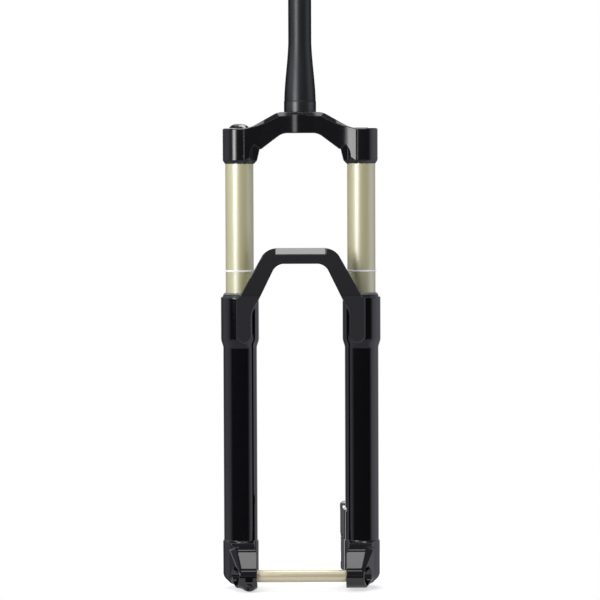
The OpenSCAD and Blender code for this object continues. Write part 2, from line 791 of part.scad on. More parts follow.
module rebound_piston() {
    color("#8c6d3a") on_leg(-1)
        tube(tube_bore_r - run_gap, shaft_r + fit_gap, damper_piston_z, damper_piston_z + piston_h);
}

module damper_foot_nut() {
    color(steel) on_leg(-1) difference() {
        translate([0, 0, nut_bottom]) cylinder(d = foot_nut_w, h = foot_nut_h, $fn = 6);
        bar(shaft_r + fit_gap, nut_bottom - over, nut_top + over);
    }
}

module air_shaft() {
    color(steel) on_leg(1) difference() {
        bar(shaft_r, floor_z, piston_top);
        bar(foot_bolt_d / 2 + fit_gap, floor_z - over, floor_z + foot_bolt_l + over);
    }
}

module air_piston() {
    color("#8c6d3a") on_leg(1) difference() {
        tube(stanchion_bore_r - run_gap, shaft_r + fit_gap, piston_z, piston_top);
        tube(stanchion_r, stanchion_bore_r - piston_groove, seal_groove_z, seal_groove_z + piston_seal_h);
    }
}

module air_piston_seal() {
    color("#202022") on_leg(1)
        tube(stanchion_bore_r - run_gap / 2, stanchion_bore_r - piston_groove + fit_gap,
             seal_groove_z + fit_gap, seal_groove_z + piston_seal_h - fit_gap);
}

module top_out_bumper() {
    color("#5b2320") on_leg(1) tube(shaft_r + top_out_wall, shaft_r + fit_gap, top_out_z, piston_z);
}

module bottom_out_bumpers() {
    color("#5b2320") for (side = [-1, 1]) on_leg(side)
        tube(stanchion_bore_r, shaft_r + fit_gap, floor_z, floor_z + bottom_out_h);
}

module air_foot_bolt() {
    socket_w = 5;
    socket_depth = 4;
    color(steel) on_leg(1) difference() {
        union() {
            bar(foot_nut_w / 2, nut_bottom, nut_top);
            bar(foot_bolt_d / 2, nut_top, floor_z + foot_bolt_l);
        }
        translate([0, 0, nut_bottom - over])
            cylinder(d = socket_w / cos(30), h = socket_depth + over, $fn = 6);
    }
}

module crush_washers() {
    washer_r = foot_nut_w / 2 + washer_margin;
    color("#b06a3c") {
        on_leg(-1) tube(washer_r, shaft_r + fit_gap, nut_top, floor_bottom);
        on_leg(1) tube(washer_r, foot_bolt_d / 2 + fit_gap, nut_top, floor_bottom);
    }
}

module axle_insert() {
    color(steel) difference() {
        axle_bar(insert_r, lug_in + over + fit_gap, lug_end);
        axle_bar(axle_thread_d / 2 + run_gap, lug_in, lug_end + over);
    }
}

module pinch_bolt() {
    socket_w = 4;
    socket_depth = 3;
    head_front = pinch_front_y - pinch_head_h;
    color(steel) difference() {
        union() {
            bar_y(pinch_head_d / 2, pinch_x, pinch_z, head_front, pinch_front_y);
            bar_y(pinch_bolt_d / 2, pinch_x, pinch_z, pinch_front_y, pinch_front_y + pinch_lobe_l);
        }
        translate([pinch_x, head_front + socket_depth, pinch_z]) rotate([90, 0, 0])
            cylinder(d = socket_w / cos(30), h = socket_depth + over, $fn = 6);
    }
}

module axle() {
    groove_w = 1;
    groove_depth = 0.3;
    axle_r = axle_d / 2;
    color(gold) difference() {
        union() {
            axle_bar(axle_r, -lug_end, -lug_in);
            axle_bar(axle_r - groove_depth, -lug_in, -lug_in + groove_w);
            axle_bar(axle_r, -lug_in + groove_w, lug_in - groove_w);
            axle_bar(axle_r - groove_depth, lug_in - groove_w, lug_in);
            axle_bar(axle_thread_d / 2, lug_in, lug_end);
        }
        translate([-lug_end - over, axle_y, axle_z]) rotate([0, 90, 0])
            cylinder(d = axle_socket_w / cos(30), h = axle_socket_depth + over, $fn = 6);
    }
}

module rebound_dial() {
    ribs = 12;
    rib_r = 1.4;
    rib_out = 0.8;
    dial_r = rebound_dial_d / 2;
    dial_high = nut_bottom - free_gap;
    dial_low = dial_high - rebound_dial_h;
    bevel = 0.8;
    color("#8a2a22") on_leg(-1) difference() {
        rotate_extrude() polygon([
            [0, dial_low], [dial_r - bevel, dial_low], [dial_r, dial_low + bevel],
            [dial_r, dial_high - bevel], [dial_r - bevel, dial_high], [0, dial_high]]);
        for (i = [0:ribs - 1]) rotate(i * 360 / ribs)
            translate([dial_r + rib_out, 0, 0]) bar(rib_r, dial_low - over, dial_high + over);
    }
}

module rebound_rod() {
    color(steel) on_leg(-1) bar(rebound_rod_d / 2, nut_bottom - free_gap, damper_piston_z + piston_h);
}

steerer_tube();
crown();
stanchion_right();
stanchion_left();
damper_top_cap();
damper_tube();
compression_valve();
damper_bladder();
damper_seal_head();
air_top_cap();
air_valve();
volume_spacers();
air_seal_head();
seal_head_circlips();
compression_dial();
compression_needle();
dial_screw();
air_cap();
travel_ring_right();
travel_ring_left();
lower_casting();
dust_wiper_right();
dust_wiper_left();
foam_ring_right();
foam_ring_left();
upper_bushings();
lower_bushings();
damper_shaft();
rebound_piston();
damper_foot_nut();
air_shaft();
air_piston();
air_piston_seal();
top_out_bumper();
bottom_out_bumpers();
air_foot_bolt();
crush_washers();
axle_insert();
pinch_bolt();
axle();
rebound_dial();
rebound_rod();
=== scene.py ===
import math
import bpy
import numpy as np
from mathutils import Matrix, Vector


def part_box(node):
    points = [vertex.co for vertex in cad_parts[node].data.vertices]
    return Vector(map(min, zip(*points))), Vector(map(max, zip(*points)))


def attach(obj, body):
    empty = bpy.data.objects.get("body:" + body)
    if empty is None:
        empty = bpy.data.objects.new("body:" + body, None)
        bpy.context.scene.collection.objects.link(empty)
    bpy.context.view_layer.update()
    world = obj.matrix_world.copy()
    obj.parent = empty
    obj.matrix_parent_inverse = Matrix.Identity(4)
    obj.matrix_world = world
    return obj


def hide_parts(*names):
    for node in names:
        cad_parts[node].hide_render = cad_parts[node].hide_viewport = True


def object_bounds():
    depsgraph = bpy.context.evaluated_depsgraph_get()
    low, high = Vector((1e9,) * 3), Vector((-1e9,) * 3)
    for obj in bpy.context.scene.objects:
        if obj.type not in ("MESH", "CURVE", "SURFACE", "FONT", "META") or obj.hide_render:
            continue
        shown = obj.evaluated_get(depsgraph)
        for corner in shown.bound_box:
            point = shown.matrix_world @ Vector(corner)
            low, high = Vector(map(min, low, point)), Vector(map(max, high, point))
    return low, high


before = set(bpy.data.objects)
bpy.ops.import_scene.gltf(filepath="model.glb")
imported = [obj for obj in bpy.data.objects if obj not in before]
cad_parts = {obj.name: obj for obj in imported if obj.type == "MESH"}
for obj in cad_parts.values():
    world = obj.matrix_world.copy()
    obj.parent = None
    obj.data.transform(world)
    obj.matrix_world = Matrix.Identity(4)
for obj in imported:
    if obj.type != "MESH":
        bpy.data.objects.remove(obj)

cad_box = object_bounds()

# The camera. A long lens stands in front of the fork, a little above its middle, as for a catalogue picture.
# It is turned by a fifth of a degree, because the photographed fork leans by as much.
aim = (-0.0001, -0.008, -0.2330)
camera_distance = 4.0
camera_lift = math.radians(3.0)
camera_roll = math.radians(0.2)
frame_width = 0.745
camera_data = bpy.data.cameras.new("camera")
camera_data.sensor_width = 36.0
camera_data.lens = camera_data.sensor_width * camera_distance / frame_width
camera = bpy.data.objects.new("camera", camera_data)
camera.location = (aim[0], aim[1] - camera_distance * math.cos(camera_lift),
                   aim[2] + camera_distance * math.sin(camera_lift))
camera.rotation_euler = (math.pi / 2 - camera_lift, camera_roll, 0.0)
bpy.context.collection.objects.link(camera)
bpy.context.scene.camera = camera
bpy.context.scene.view_settings.view_transform = "Standard"


# The room. The paper behind is white and the walls beside are pale, with a bright band on the left one. The
# side towards the camera is dark over a pale table, so that the black paint shows bright edges.
class Shade:
    """A value in a shader: wraps a socket, so that + - and * on values add Math nodes."""

    def __init__(self, tree, socket=None):
        self.tree = tree
        self.socket = socket

    def node(self, kind, inputs=None, out=0, **settings):
        """Adds a node: its settings first, then the values or links of its sockets."""
        made = self.tree.nodes.new(kind)
        for name, value in settings.items():
            setattr(made, name, value)
        for key, value in (inputs or {}).items():
            if isinstance(value, Shade):
                self.tree.links.new(value.socket, made.inputs[key])
            else:
                made.inputs[key].default_value = value
        return Shade(self.tree, made.outputs[out] if made.outputs else None)

    def math(self, operation, a, b):
        """Adds a Math node for two values."""
        return self.node("ShaderNodeMath", {0: a, 1: b}, operation=operation)

    def __add__(self, other):
        return self.math("ADD", self, other)

    def __radd__(self, other):
        return self.math("ADD", other, self)

    def __sub__(self, other):
        return self.math("SUBTRACT", self, other)

    def __rsub__(self, other):
        return self.math("SUBTRACT", other, self)

    def __mul__(self, other):
        return self.math("MULTIPLY", self, other)

    def __rmul__(self, other):
        return self.math("MULTIPLY", other, self)

    def between(self, low, high):
        """0 below low and 1 above high, with a smooth step between."""
        return self.node("ShaderNodeMapRange", {"Value": self, "From Min": low, "From Max": high},
                         interpolation_type="SMOOTHSTEP")


world = bpy.data.worlds.new("studio")
bpy.context.scene.world = world
world.use_nodes = True
world.node_tree.nodes.clear()
sky = Shade(world.node_tree)
heading = sky.node("ShaderNodeTexCoord", out="Generated")
to_right = sky.node("ShaderNodeSeparateXYZ", {0: heading}, out="X")
to_back = sky.node("ShaderNodeSeparateXYZ", {0: heading}, out="Y")
to_top = sky.node("ShaderNodeSeparateXYZ", {0: heading}, out="Z")
front_level = 0.05
upper_level = 0.38
upper_fall = 0.55
table_level = 0.42
right_level = 0.86
right_fall = 0.10
left_level = 0.52
left_fall = 0.50
left_band_level = 1.5
room_tone = (0.97, 0.98, 1.10, 1.0)
white = (1.0, 1.0, 1.0, 1.0)
# Each pair below says where a part of the room begins and where it is full, along one axis of the direction.
rear_part = to_back.between(0.1, 0.9)
right_part = to_right.between(-0.3, 0.3)
beside = to_back.between(-0.62, -0.22)
below_ceiling = 1.0 - to_top.between(0.35, 0.6)
right_gain = right_level - left_level - right_fall * rear_part
side_level = left_level - left_fall * rear_part + right_part * right_gain
left_band = ((1.0 - right_part) * to_back.between(-0.75, -0.45) * (1.0 - to_back.between(0.1, 0.6))
             * to_top.between(0.16, 0.26) * (1.0 - to_top.between(0.45, 0.65)))
upper_part = to_top.between(0.02, 0.07) * (1.0 - upper_fall * to_top.between(0.12, 0.22))
table_part = (-1.0 * to_top).between(0.135, 0.20) * (1.0 - beside)
room_level = (front_level + upper_level * upper_part + side_level * beside * below_ceiling
              + left_band_level * left_band + table_level * table_part)
behind = to_back.between(0.87, 0.94)
seen_by_camera, seen_mirrored, seen_through = (
    sky.node("ShaderNodeLightPath", out=f"Is {ray} Ray") for ray in ("Camera", "Glossy", "Transmission"))
seen_white = seen_by_camera + (seen_mirrored + seen_through) * behind
level = room_level + seen_white * (1.0 - room_level)
tone = sky.node("ShaderNodeMix", {"Factor": seen_white, 6: room_tone, 7: white}, out=2, data_type="RGBA")
backdrop = sky.node("ShaderNodeBackground", {"Color": tone, "Strength": level})
sky.node("ShaderNodeOutputWorld", {"Surface": backdrop})


# The lamps. A tall strip light in three layers, brightest in the middle, stands at the front left with a
# broad box over it. A wide soft box hangs behind and above, and a narrow one in front lights the dropouts.
def soft_box(name, place, target, width, height, radiance):
    """A flat light of even radiance that faces a target point."""
    data = bpy.data.lights.new(name, "AREA")
    data.shape = "RECTANGLE"
    data.size = width
    data.size_y = height
    data.energy = radiance * math.pi * width * height
    box = bpy.data.objects.new(name, data)
    box.location = place
    way = Vector(target) - Vector(place)
    box.rotation_euler = way.to_track_quat("-Z", "Y").to_euler()
    box.visible_camera = False
    bpy.context.collection.objects.link(box)


strip_turn = math.radians(-36.0)
strip_distance = 1.3
strip_low = -0.264
strip_high = 0.11
strip_mid = (strip_low + strip_high) / 2
strip_top = 0.285
layer_gap = 0.01


def strip_place(away, height):
    """The point at a distance from the steerer's axis, in the strip light's direction, at a height."""
    return away * math.sin(strip_turn), -away * math.cos(strip_turn), height


for layer, (width, radiance) in enumerate(((0.24, 5.4), (0.42, 4.0), (0.70, 2.2))):
    soft_box(f"strip_light_{layer}", strip_place(strip_distance + layer_gap * layer, strip_mid),
             (0.0, 0.0, strip_mid), width, strip_high - strip_low, radiance)
soft_box("strip_light_top", strip_place(strip_distance, strip_top), (0.0, 0.0, strip_top),
         width=0.54, height=0.34, radiance=7.0)
soft_box("top_light", (0.0, 0.45, 1.1), (0.0, 0.05, -0.2), width=1.0, height=1.5, radiance=3.5)
soft_box("front_light", (0.0, -0.86, 0.69), (0.0, -0.04, -0.57), width=1.0, height=0.22, radiance=3.0)


# The floor. A round sheet of white paper lies under the feet. The paint mirrors only the part of it that
# lies before the feet, as it would mirror a small table.
floor_z = cad_box[0].z - 0.0005
floor_r = 0.34
floor_sides = 96
paper_grey = (0.60, 0.60, 0.60, 1.0)
seen_glow = 0.62
mirrored_glow = 0.45
mirror_start, mirror_end = (0.03, 0.05), (0.11, 0.15)
floor_turn = np.linspace(0.0, 2 * np.pi, floor_sides, endpoint=False)
floor_edge = np.stack([floor_r * np.cos(floor_turn), floor_r * np.sin(floor_turn),
                       np.full(floor_sides, floor_z)], axis=-1)
floor_mesh = bpy.data.meshes.new("floor")
floor_mesh.from_pydata(floor_edge, [], [tuple(range(floor_sides))])
floor_paper = bpy.data.materials.new("floor_paper")
floor_paper.use_nodes = True
floor_paper.node_tree.nodes.clear()
paper = Shade(floor_paper.node_tree)
paper_place = paper.node("ShaderNodeTexCoord", out="Object")
forward = -1.0 * paper.node("ShaderNodeSeparateXYZ", {0: paper_place}, out="Y")
before_feet = forward.between(*mirror_start) * (1.0 - forward.between(*mirror_end))
mirrored = (paper.node("ShaderNodeLightPath", out="Is Glossy Ray")
            + paper.node("ShaderNodeLightPath", out="Is Transmission Ray"))
lit_paper = paper.node("ShaderNodeBsdfDiffuse", {"Color": paper_grey})
seen_paper = paper.node("ShaderNodeLightPath", out="Is Camera Ray") * seen_glow + mirrored * mirrored_glow
glow = paper.node("ShaderNodeEmission", {"Color": white, "Strength": seen_paper})
white_paper = paper.node("ShaderNodeAddShader", {0: lit_paper, 1: glow})
seen_floor = paper.node("ShaderNodeMixShader", {0: mirrored * (1.0 - before_feet), 1: white_paper,
                                                2: paper.node("ShaderNodeBsdfTransparent")})
paper.node("ShaderNodeOutputMaterial", {"Surface": seen_floor})
floor_mesh.materials.append(floor_paper)
floor = bpy.data.objects.new("floor", floor_mesh)
bpy.context.collection.objects.link(floor)


# The steerer: one tapered aluminium tube, butted inside and anodised satin black, pressed into the crown.
# The race seat at its foot is turned bright for the lower headset bearing.
def rounded(points, radius, steps=6):
    """Softens each corner of an open profile with a parabola whose legs are at most radius long."""
    p = np.asarray(points, float)
    before, corner, after = p[:-2], p[1:-1], p[2:]
    way_in, way_out = before - corner, after - corner
    reach_in = np.linalg.norm(way_in[:, :2], axis=1, keepdims=True)
    reach_out = np.linalg.norm(way_out[:, :2], axis=1, keepdims=True)
    leg = np.minimum(radius, 0.45 * np.minimum(reach_in, reach_out))
    start = corner + way_in * leg / reach_in
    end = corner + way_out * leg / reach_out
    t = np.linspace(0.0, 1.0, steps)[None, :, None]
    bend = (1 - t) ** 2 * start[:, None] + 2 * t * (1 - t) * corner[:, None] + t ** 2 * end[:, None]
    return np.vstack([p[:1], bend.reshape(-1, p.shape[1]), p[-1:]])


def ring_profile(points, radius, steps=6):
    """Softens every corner of a closed profile, by running past its ends and dropping what repeats."""
    p = np.asarray(points, float)
    return rounded(np.vstack([p[-1:], p, p[:1]]), radius, steps)[1:-1]


axis_frames = {"Z": np.eye(3), "X": np.eye(3)[[1, 2, 0]], "Y": np.eye(3)[[2, 0, 1]]}


def turned(profile, centre, axis="Z", flutes=None, segments=144):
    """A turned surface: each (radius, height) of the profile is carried round the axis through centre.

    A third column, 0 to 1, says how far a row follows flutes(angle), which multiplies its radius.
    A profile that begins and ends on the axis closes there in two poles. Any other is a closed ring.
    """
    p = np.asarray(profile, float)
    weight = p[:, 2:3] if p.shape[1] > 2 else np.zeros((len(p), 1))
    r, h = p[:, :1], p[:, 1:2]
    if np.sum(r[:, 0] * np.roll(h[:, 0], -1) - np.roll(r[:, 0], -1) * h[:, 0]) < 0:
        r, h, weight = r[::-1], h[::-1], weight[::-1]
    angle = np.linspace(0.0, 2 * np.pi, segments, endpoint=False)[None, :]
    r = r * (1 + weight * ((flutes(angle) if flutes else 1.0) - 1.0))
    local = np.stack([r * np.cos(angle), r * np.sin(angle), h + 0 * angle], axis=-1)
    points = local @ axis_frames[axis] + np.asarray(centre, float)
    rows, step = len(p), np.arange(segments)
    following = (step + 1) % segments
    poles = r[0, 0] < 1e-6 and r[-1, 0] < 1e-6
    if not poles:
        row = np.arange(rows)[:, None] * segments
        above = np.roll(row, -1, axis=0)
        quads = np.stack([row + step, row + following, above + following, above + step], axis=-1)
        return points.reshape(-1, 3), [quads.reshape(-1, 4)]
    row = 1 + np.arange(rows - 3)[:, None] * segments
    above = row + segments
    quads = np.stack([row + step, row + following, above + following, above + step], axis=-1)
    last = 1 + (rows - 2) * segments
    bottom = np.stack([np.zeros(segments, int), 1 + following, 1 + step], axis=-1)
    top_row = last - segments
    top = np.stack([np.full(segments, last), top_row + step, top_row + following], axis=-1)
    points = np.vstack([points[0, :1], points[1:-1].reshape(-1, 3), points[-1, :1]])
    return points, [quads.reshape(-1, 4), bottom, top]


MM = 0.001


def piece(name, surface, finish, body, nodes, normals=None):
    """Puts a surface in millimetres into the scene: a piece that rides on a body and stands for CAD nodes.

    Edges that fold by more than 32 degrees stay sharp, unless the surface brings its own normals.
    """
    points, faces = surface
    mesh = bpy.data.meshes.new(name)
    mesh.from_pydata(np.asarray(points) * MM, [], [face for group in faces for face in group.tolist()])
    mesh.validate()
    mesh.shade_smooth()
    if normals is None:
        mesh.set_sharp_from_angle(angle=math.radians(32.0))
    else:
        mesh.normals_split_custom_set_from_vertices(normals)
    mesh.materials.append(finish)
    made = bpy.data.objects.new(name, mesh)
    bpy.context.collection.objects.link(made)
    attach(made, body)
    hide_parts(*nodes)


def new_finish(name, **constants):
    """A material with one Principled shader, with a Shade for its tree and a function that links inputs."""
    material = bpy.data.materials.new(name)
    material.use_nodes = True
    shader = material.node_tree.nodes["Principled BSDF"]
    for key, value in constants.items():
        shader.inputs[key.replace("_", " ").title().replace("Ior", "IOR")].default_value = value
    start = Shade(material.node_tree)

    def feed(socket, value):
        """Links a Shade to the named input of the shader."""
        material.node_tree.links.new(value.socket, shader.inputs[socket])

    return material, start, feed


def blotches(start, size, stretch=(1.0, 1.0, 1.0), detail=3.0):
    """Soft noise from 0 to 1 with patches of about the given size in metres, stretched along the axes."""
    place = start.node("ShaderNodeTexCoord", out="Object")
    per_metre = tuple(part / size for part in stretch)
    scaled = start.node("ShaderNodeVectorMath", {0: place, 1: per_metre}, operation="MULTIPLY")
    return start.node("ShaderNodeTexNoise", {"Vector": scaled, "Scale": 1.0, "Detail": detail},
                      noise_dimensions="3D")


def mixed(start, factor, first, second):
    """The first colour where factor is 0 and the second where it is 1."""
    return start.node("ShaderNodeMix", {"Factor": factor, 6: (*first, 1.0), 7: (*second, 1.0)}, out=2,
                      data_type="RGBA")


def relief(start, height, depth):
    """The normal of a surface that height from 0 to 1 lifts by up to depth in metres."""
    return start.node("ShaderNodeBump", {"Height": height, "Strength": 1.0, "Distance": depth})


def node_box(node):
    """Lowest and highest corner of a CAD node, in millimetres."""
    return tuple(np.array(corner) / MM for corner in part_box(node))


steerer_low, steerer_high = node_box("steerer_tube")
race_r = steerer_high[0]
steerer_r = 14.3
steerer_bore_r = 12.0
steerer_foot_bore_r = 15.0
taper_top = 86.0
race_top = 14.2
race_step = 0.4
spigot_r = 19.0
taper_part = np.linspace(0.0, 1.0, 25)
taper_swell = 0.6 * (3 * taper_part ** 2 - 2 * taper_part ** 3) + 0.4 * taper_part
taper_r = race_r - race_step + (steerer_r - race_r + race_step) * taper_swell
taper_z = race_top + 2.0 + (taper_top - race_top - 2.0) * taper_part
steerer_profile = ring_profile([
    (steerer_foot_bore_r, steerer_low[2]), (spigot_r, steerer_low[2]), (spigot_r, 0.0), (race_r, 0.0),
    (race_r, race_top - 0.9), (race_r - race_step - 0.05, race_top - 0.45), (race_r - race_step, race_top),
    *zip(taper_r, taper_z), (steerer_r, steerer_high[2]), (steerer_bore_r, steerer_high[2]),
    (steerer_bore_r, taper_top), (steerer_foot_bore_r, race_top)], 0.6)

satin_black, s, feed = new_finish("satin_black_anodise", metallic=1.0, specular_tint=(0.15, 0.15, 0.16, 1.0))
height = s.node("ShaderNodeSeparateXYZ", {0: s.node("ShaderNodeTexCoord", out="Object")}, out="Z")
seat_start, seat_end = (0.0002, 0.0004), (0.0119, 0.0122)
seat = height.between(*seat_start) * (1.0 - height.between(*seat_end))
lathe_rings = blotches(s, 0.0006, stretch=(0.02, 0.02, 1.0))
handling = blotches(s, 0.03)
feed("Base Color", mixed(s, seat, (0.046, 0.047, 0.047), (0.061, 0.062, 0.062)))
feed("Roughness", 0.36 + 0.05 * handling - 0.06 * seat)
feed("Normal", relief(s, lathe_rings, 0.000004))
piece("steerer_tube_visual", turned(steerer_profile, (0.0, 0.0, 0.0)), satin_black, "upper",
      ["steerer_tube"])


# The crown: one forging of aluminium, machined and anodised glossy black. Its two arms drop from the boss
# round the steerer to the clamps, which are pressed over the stanchions. A broad bevel runs along its upper
# edges, and the arms flow into the clamps with large hollows.
def round_join(a, b, r):
    """Two solids made one, from the distances to each, with a hollow of radius r where they meet."""
    return np.maximum(r, np.minimum(a, b)) - np.hypot(np.maximum(r - a, 0.0), np.maximum(r - b, 0.0))


def round_cut(a, b, r):
    """What two solids share, from the distances to each, with an edge of radius r where they meet."""
    return np.minimum(-r, np.maximum(a, b)) + np.hypot(np.maximum(r + a, 0.0), np.maximum(r + b, 0.0))


def line_distance(u, v, start, end):
    """Distance from the line through two points of a view, positive on its left-hand side."""
    du, dv = end[0] - start[0], end[1] - start[1]
    return ((v - start[1]) * du - (u - start[0]) * dv) / math.hypot(du, dv)


def carved_surface(solid, xs, ys, zs):
    """The surface where the distance solid(x, y, z) is nought, as a net of four-sided faces and its normals.

    Each cell of the grid that the surface crosses gets one point, the mean of the crossings of its edges.
    The points then slide along the slope of the distance onto the surface, and that slope is their normal.
    Each grid edge that crosses the surface joins the points of its four cells.
    """
    level = solid(xs[:, None, None], ys[None, :, None], zs[None, None, :])
    inside = level < 0
    shape = tuple(n - 1 for n in level.shape)
    total, count = np.zeros(shape + (3,)), np.zeros(shape)
    grid = np.meshgrid(xs, ys, zs, indexing="ij")
    crossings = []
    for along in range(3):
        low = tuple(slice(0, -1) if k == along else slice(None) for k in range(3))
        high = tuple(slice(1, None) if k == along else slice(None) for k in range(3))
        crossed = inside[low] != inside[high]
        part = np.where(crossed, level[low] / np.where(crossed, level[low] - level[high], 1.0), 0.0)
        place = [g[low] + (part * (g[high] - g[low]) if k == along else 0.0) for k, g in enumerate(grid)]
        others = [k for k in range(3) if k != along]
        for first in (0, 1):
            for second in (0, 1):
                shift = [slice(None)] * 3
                shift[others[0]] = slice(first, first + shape[others[0]])
                shift[others[1]] = slice(second, second + shape[others[1]])
                shift = tuple(shift)
                count += crossed[shift]
                for k in range(3):
                    total[..., k] += np.where(crossed[shift], place[k][shift], 0.0)
        crossings.append((along, others, crossed, inside[low]))
    active = count > 0
    label = np.full(shape, -1)
    label[active] = np.arange(active.sum())
    points = total[active] / count[active][:, None]

    def slope_at(p):
        """Slope of the distance at each point: the change across twice the reach, along each axis."""
        reach = 0.25
        steps = np.eye(3) * reach
        return np.stack([solid(*(p + s).T) - solid(*(p - s).T) for s in steps], axis=-1) / (2 * reach)

    for _ in range(4):
        slope = slope_at(points)
        move = solid(*points.T) / np.maximum((slope ** 2).sum(axis=1), 0.25)
        points = points - np.clip(move, -0.4, 0.4)[:, None] * slope
    normals = slope_at(points)
    normals /= np.maximum(np.linalg.norm(normals, axis=1, keepdims=True), 1e-9)

    faces = []
    for along, others, crossed, starts_inside in crossings:
        here = np.argwhere(crossed)
        keep = np.all([(here[:, k] > 0) & (here[:, k] < level.shape[k] - 1) for k in others], axis=0)
        here = here[keep]
        step = np.eye(3, dtype=int)[others]
        corners = [here - step[0] - step[1], here - step[1], here, here - step[0]]
        quad = np.stack([label[tuple(c.T)] for c in corners], axis=-1)
        outward = starts_inside[tuple(here.T)] == (along != 1)
        faces.append(np.where(outward[:, None], quad, quad[:, ::-1]))
    return (points, [np.vstack(faces)]), normals


crown_low, crown_high = node_box("crown")
stanchion_low, stanchion_high = node_box("stanchion_left")
axis_x, axis_y = (stanchion_low[:2] + stanchion_high[:2]) / 2
stanchion_r = (stanchion_high[0] - stanchion_low[0]) / 2
clamp_r = crown_high[0] - axis_x
clamp_bottom = crown_low[2] - 1.6
clamp_top = node_box("damper_top_cap")[1][2]
crown_boss_r = crown_high[1]
crown_under = steerer_low[2]
arm_top_line = (27.5, 0.0), (58.7, -17.4)
arm_under_line = (50.2, -47.2), (22.0, crown_under)
arm_front = -22.9
arm_rear, arm_rear_fall = 13.0, 4.0
front_bump, front_bump_w = 2.3, 9.0
wing_start, wing_end = 44.6, 60.1
wing_slope, wing_tangent = 0.305, 0.292
under_hollow_x, under_hollow_z, under_hollow_r = 41.5, -54.6, 20.3
under_hollow_edge = (56.8, -40.6), (51.5, -44.2)
gusset_line = (54.4, -64.0), (50.4, -47.2)
gusset_half_w, gusset_top = 12.5, -38.0
sole_start = 63.5
clamp_chamfer_w, clamp_chamfer_h = 2.7, 6.0
chamfer_out, chamfer_down = 0.829, 0.559
bevel_places, bevel_widths = [0.0, 16.0, 24.0, 44.0, 60.0], [2.4, 4.6, 5.4, 4.2, 1.2]
tilt_places, tilt_degrees = [14.0, 27.0], [36.0, 46.0]


def crown_solid(x, y, z):
    """Distance to the crown: arms, boss and clamps that flow together in plan, cut by its front view's lines.

    In plan the front swells by a bell-shaped bump before the steerer, and bends forwards along a parabola to
    meet each clamp on a tangent. A chamfer runs round the clamps' soles, and a bevel along the upper edges.
    """
    u = np.abs(x)
    from_axis = np.hypot(u - axis_x, y - axis_y)
    arm_top = line_distance(u, z, *arm_top_line)
    top = round_cut(z, round_join(arm_top, z - clamp_top, 4.0), 2.0)
    under = round_join(crown_under - z, line_distance(u, z, *arm_under_line), 3.5)
    wing_run = wing_end - wing_start
    wing = np.clip((u - wing_start) / wing_run, 0.0, 1.0)
    bend = wing_slope * (wing_run / 2 * wing ** 2 + np.maximum(u - wing_end, 0.0))
    front = arm_front - front_bump * np.exp(-(u / front_bump_w) ** 2) - bend - y
    rear = round_join(y - (arm_rear - arm_rear_fall * u / axis_x), np.hypot(x, y) - crown_boss_r, 5.0)
    strip = np.maximum(np.maximum(front, rear), u - axis_x + wing_tangent * clamp_r)
    from_hollow = np.hypot(u - under_hollow_x, np.maximum(z - under_hollow_z, 0.0))
    under_hollow = np.minimum(under_hollow_r - from_hollow, line_distance(u, z, *under_hollow_edge))
    arms = np.minimum(round_cut(np.maximum(under, under_hollow), strip, 1.0), from_axis - clamp_r)
    gusset_side = np.maximum(line_distance(u, z, *gusset_line),
                             np.maximum(np.abs(y - axis_y) - gusset_half_w, u - axis_x))
    gusset = np.maximum(gusset_side, z - gusset_top)
    sole = np.minimum(np.minimum(from_axis - clamp_r, np.maximum(strip, sole_start - u)), gusset_side)
    above = np.maximum(z - clamp_bottom - clamp_chamfer_h, 0.0)
    lower_edge = chamfer_out * (sole + clamp_chamfer_w) - chamfer_down * (z - clamp_bottom) - 3.0 * above
    body = round_cut(np.minimum(arms, gusset), np.maximum(lower_edge, clamp_bottom - z), 0.6)
    bevel = np.interp(u, bevel_places, bevel_widths)
    tilt = np.radians(np.interp(u, tilt_places, tilt_degrees))
    carved = np.maximum(round_cut(body, top, 0.4), np.cos(tilt) * body + np.sin(tilt) * (top + bevel))
    carved = round_cut(carved, stanchion_r - from_axis, 0.7)
    return round_cut(carved, spigot_r - np.hypot(x, y), 0.7)


crown_black, s, feed = new_finish("glossy_black_anodise", ior=1.55)
mottle = blotches(s, 0.004)
forging = blotches(s, 0.02)
feed("Base Color", mixed(s, forging, (0.0022, 0.0022, 0.0026), (0.0040, 0.0040, 0.0044)))
feed("Roughness", 0.13 + 0.06 * mottle)
feed("Normal", relief(s, blotches(s, 0.0012), 0.000010))
crown_surface, crown_normals = carved_surface(
    crown_solid, np.arange(-98.0, 98.6, 1.0), np.arange(-31.0, 28.6, 1.0),
    np.arange(clamp_bottom - 1.4, 1.6, 1.0))
piece("crown_visual", crown_surface, crown_black, "upper", ["crown"], crown_normals)


# The stanchions: two drawn and ground aluminium tubes, hard anodised a pale gold and polished to slide in
# the bushings. They are pressed into the clamps, and their upper ends stop just below the clamp tops.
stanchion_top, stanchion_bottom = stanchion_high[2], stanchion_low[2]
stanchion_bore_r = 15.0
stanchion_profile = ring_profile([
    (stanchion_bore_r, stanchion_bottom), (stanchion_r - 0.8, stanchion_bottom),
    (stanchion_r, stanchion_bottom + 1.4), (stanchion_r, stanchion_top - 0.6),
    (stanchion_r - 0.6, stanchion_top), (stanchion_bore_r, stanchion_top)], 0.5)
gold_coat, s, feed = new_finish("gold_hard_coat", metallic=0.05, ior=3.5)
drawn_lines = blotches(s, 0.0010, stretch=(1.0, 1.0, 0.004))
gold_tone = blotches(s, 0.05)
feed("Base Color", mixed(s, gold_tone, (0.420, 0.384, 0.135), (0.450, 0.412, 0.150)))
feed("Roughness", 0.41 + 0.06 * drawn_lines)
feed("Normal", relief(s, drawn_lines, 0.0000012))
leg_axes = {"right": -axis_x, "left": axis_x}
for side, centre_x in leg_axes.items():
    piece(f"stanchion_{side}_visual", turned(stanchion_profile, (centre_x, axis_y, 0.0)), gold_coat, "upper",
          [f"stanchion_{side}"])


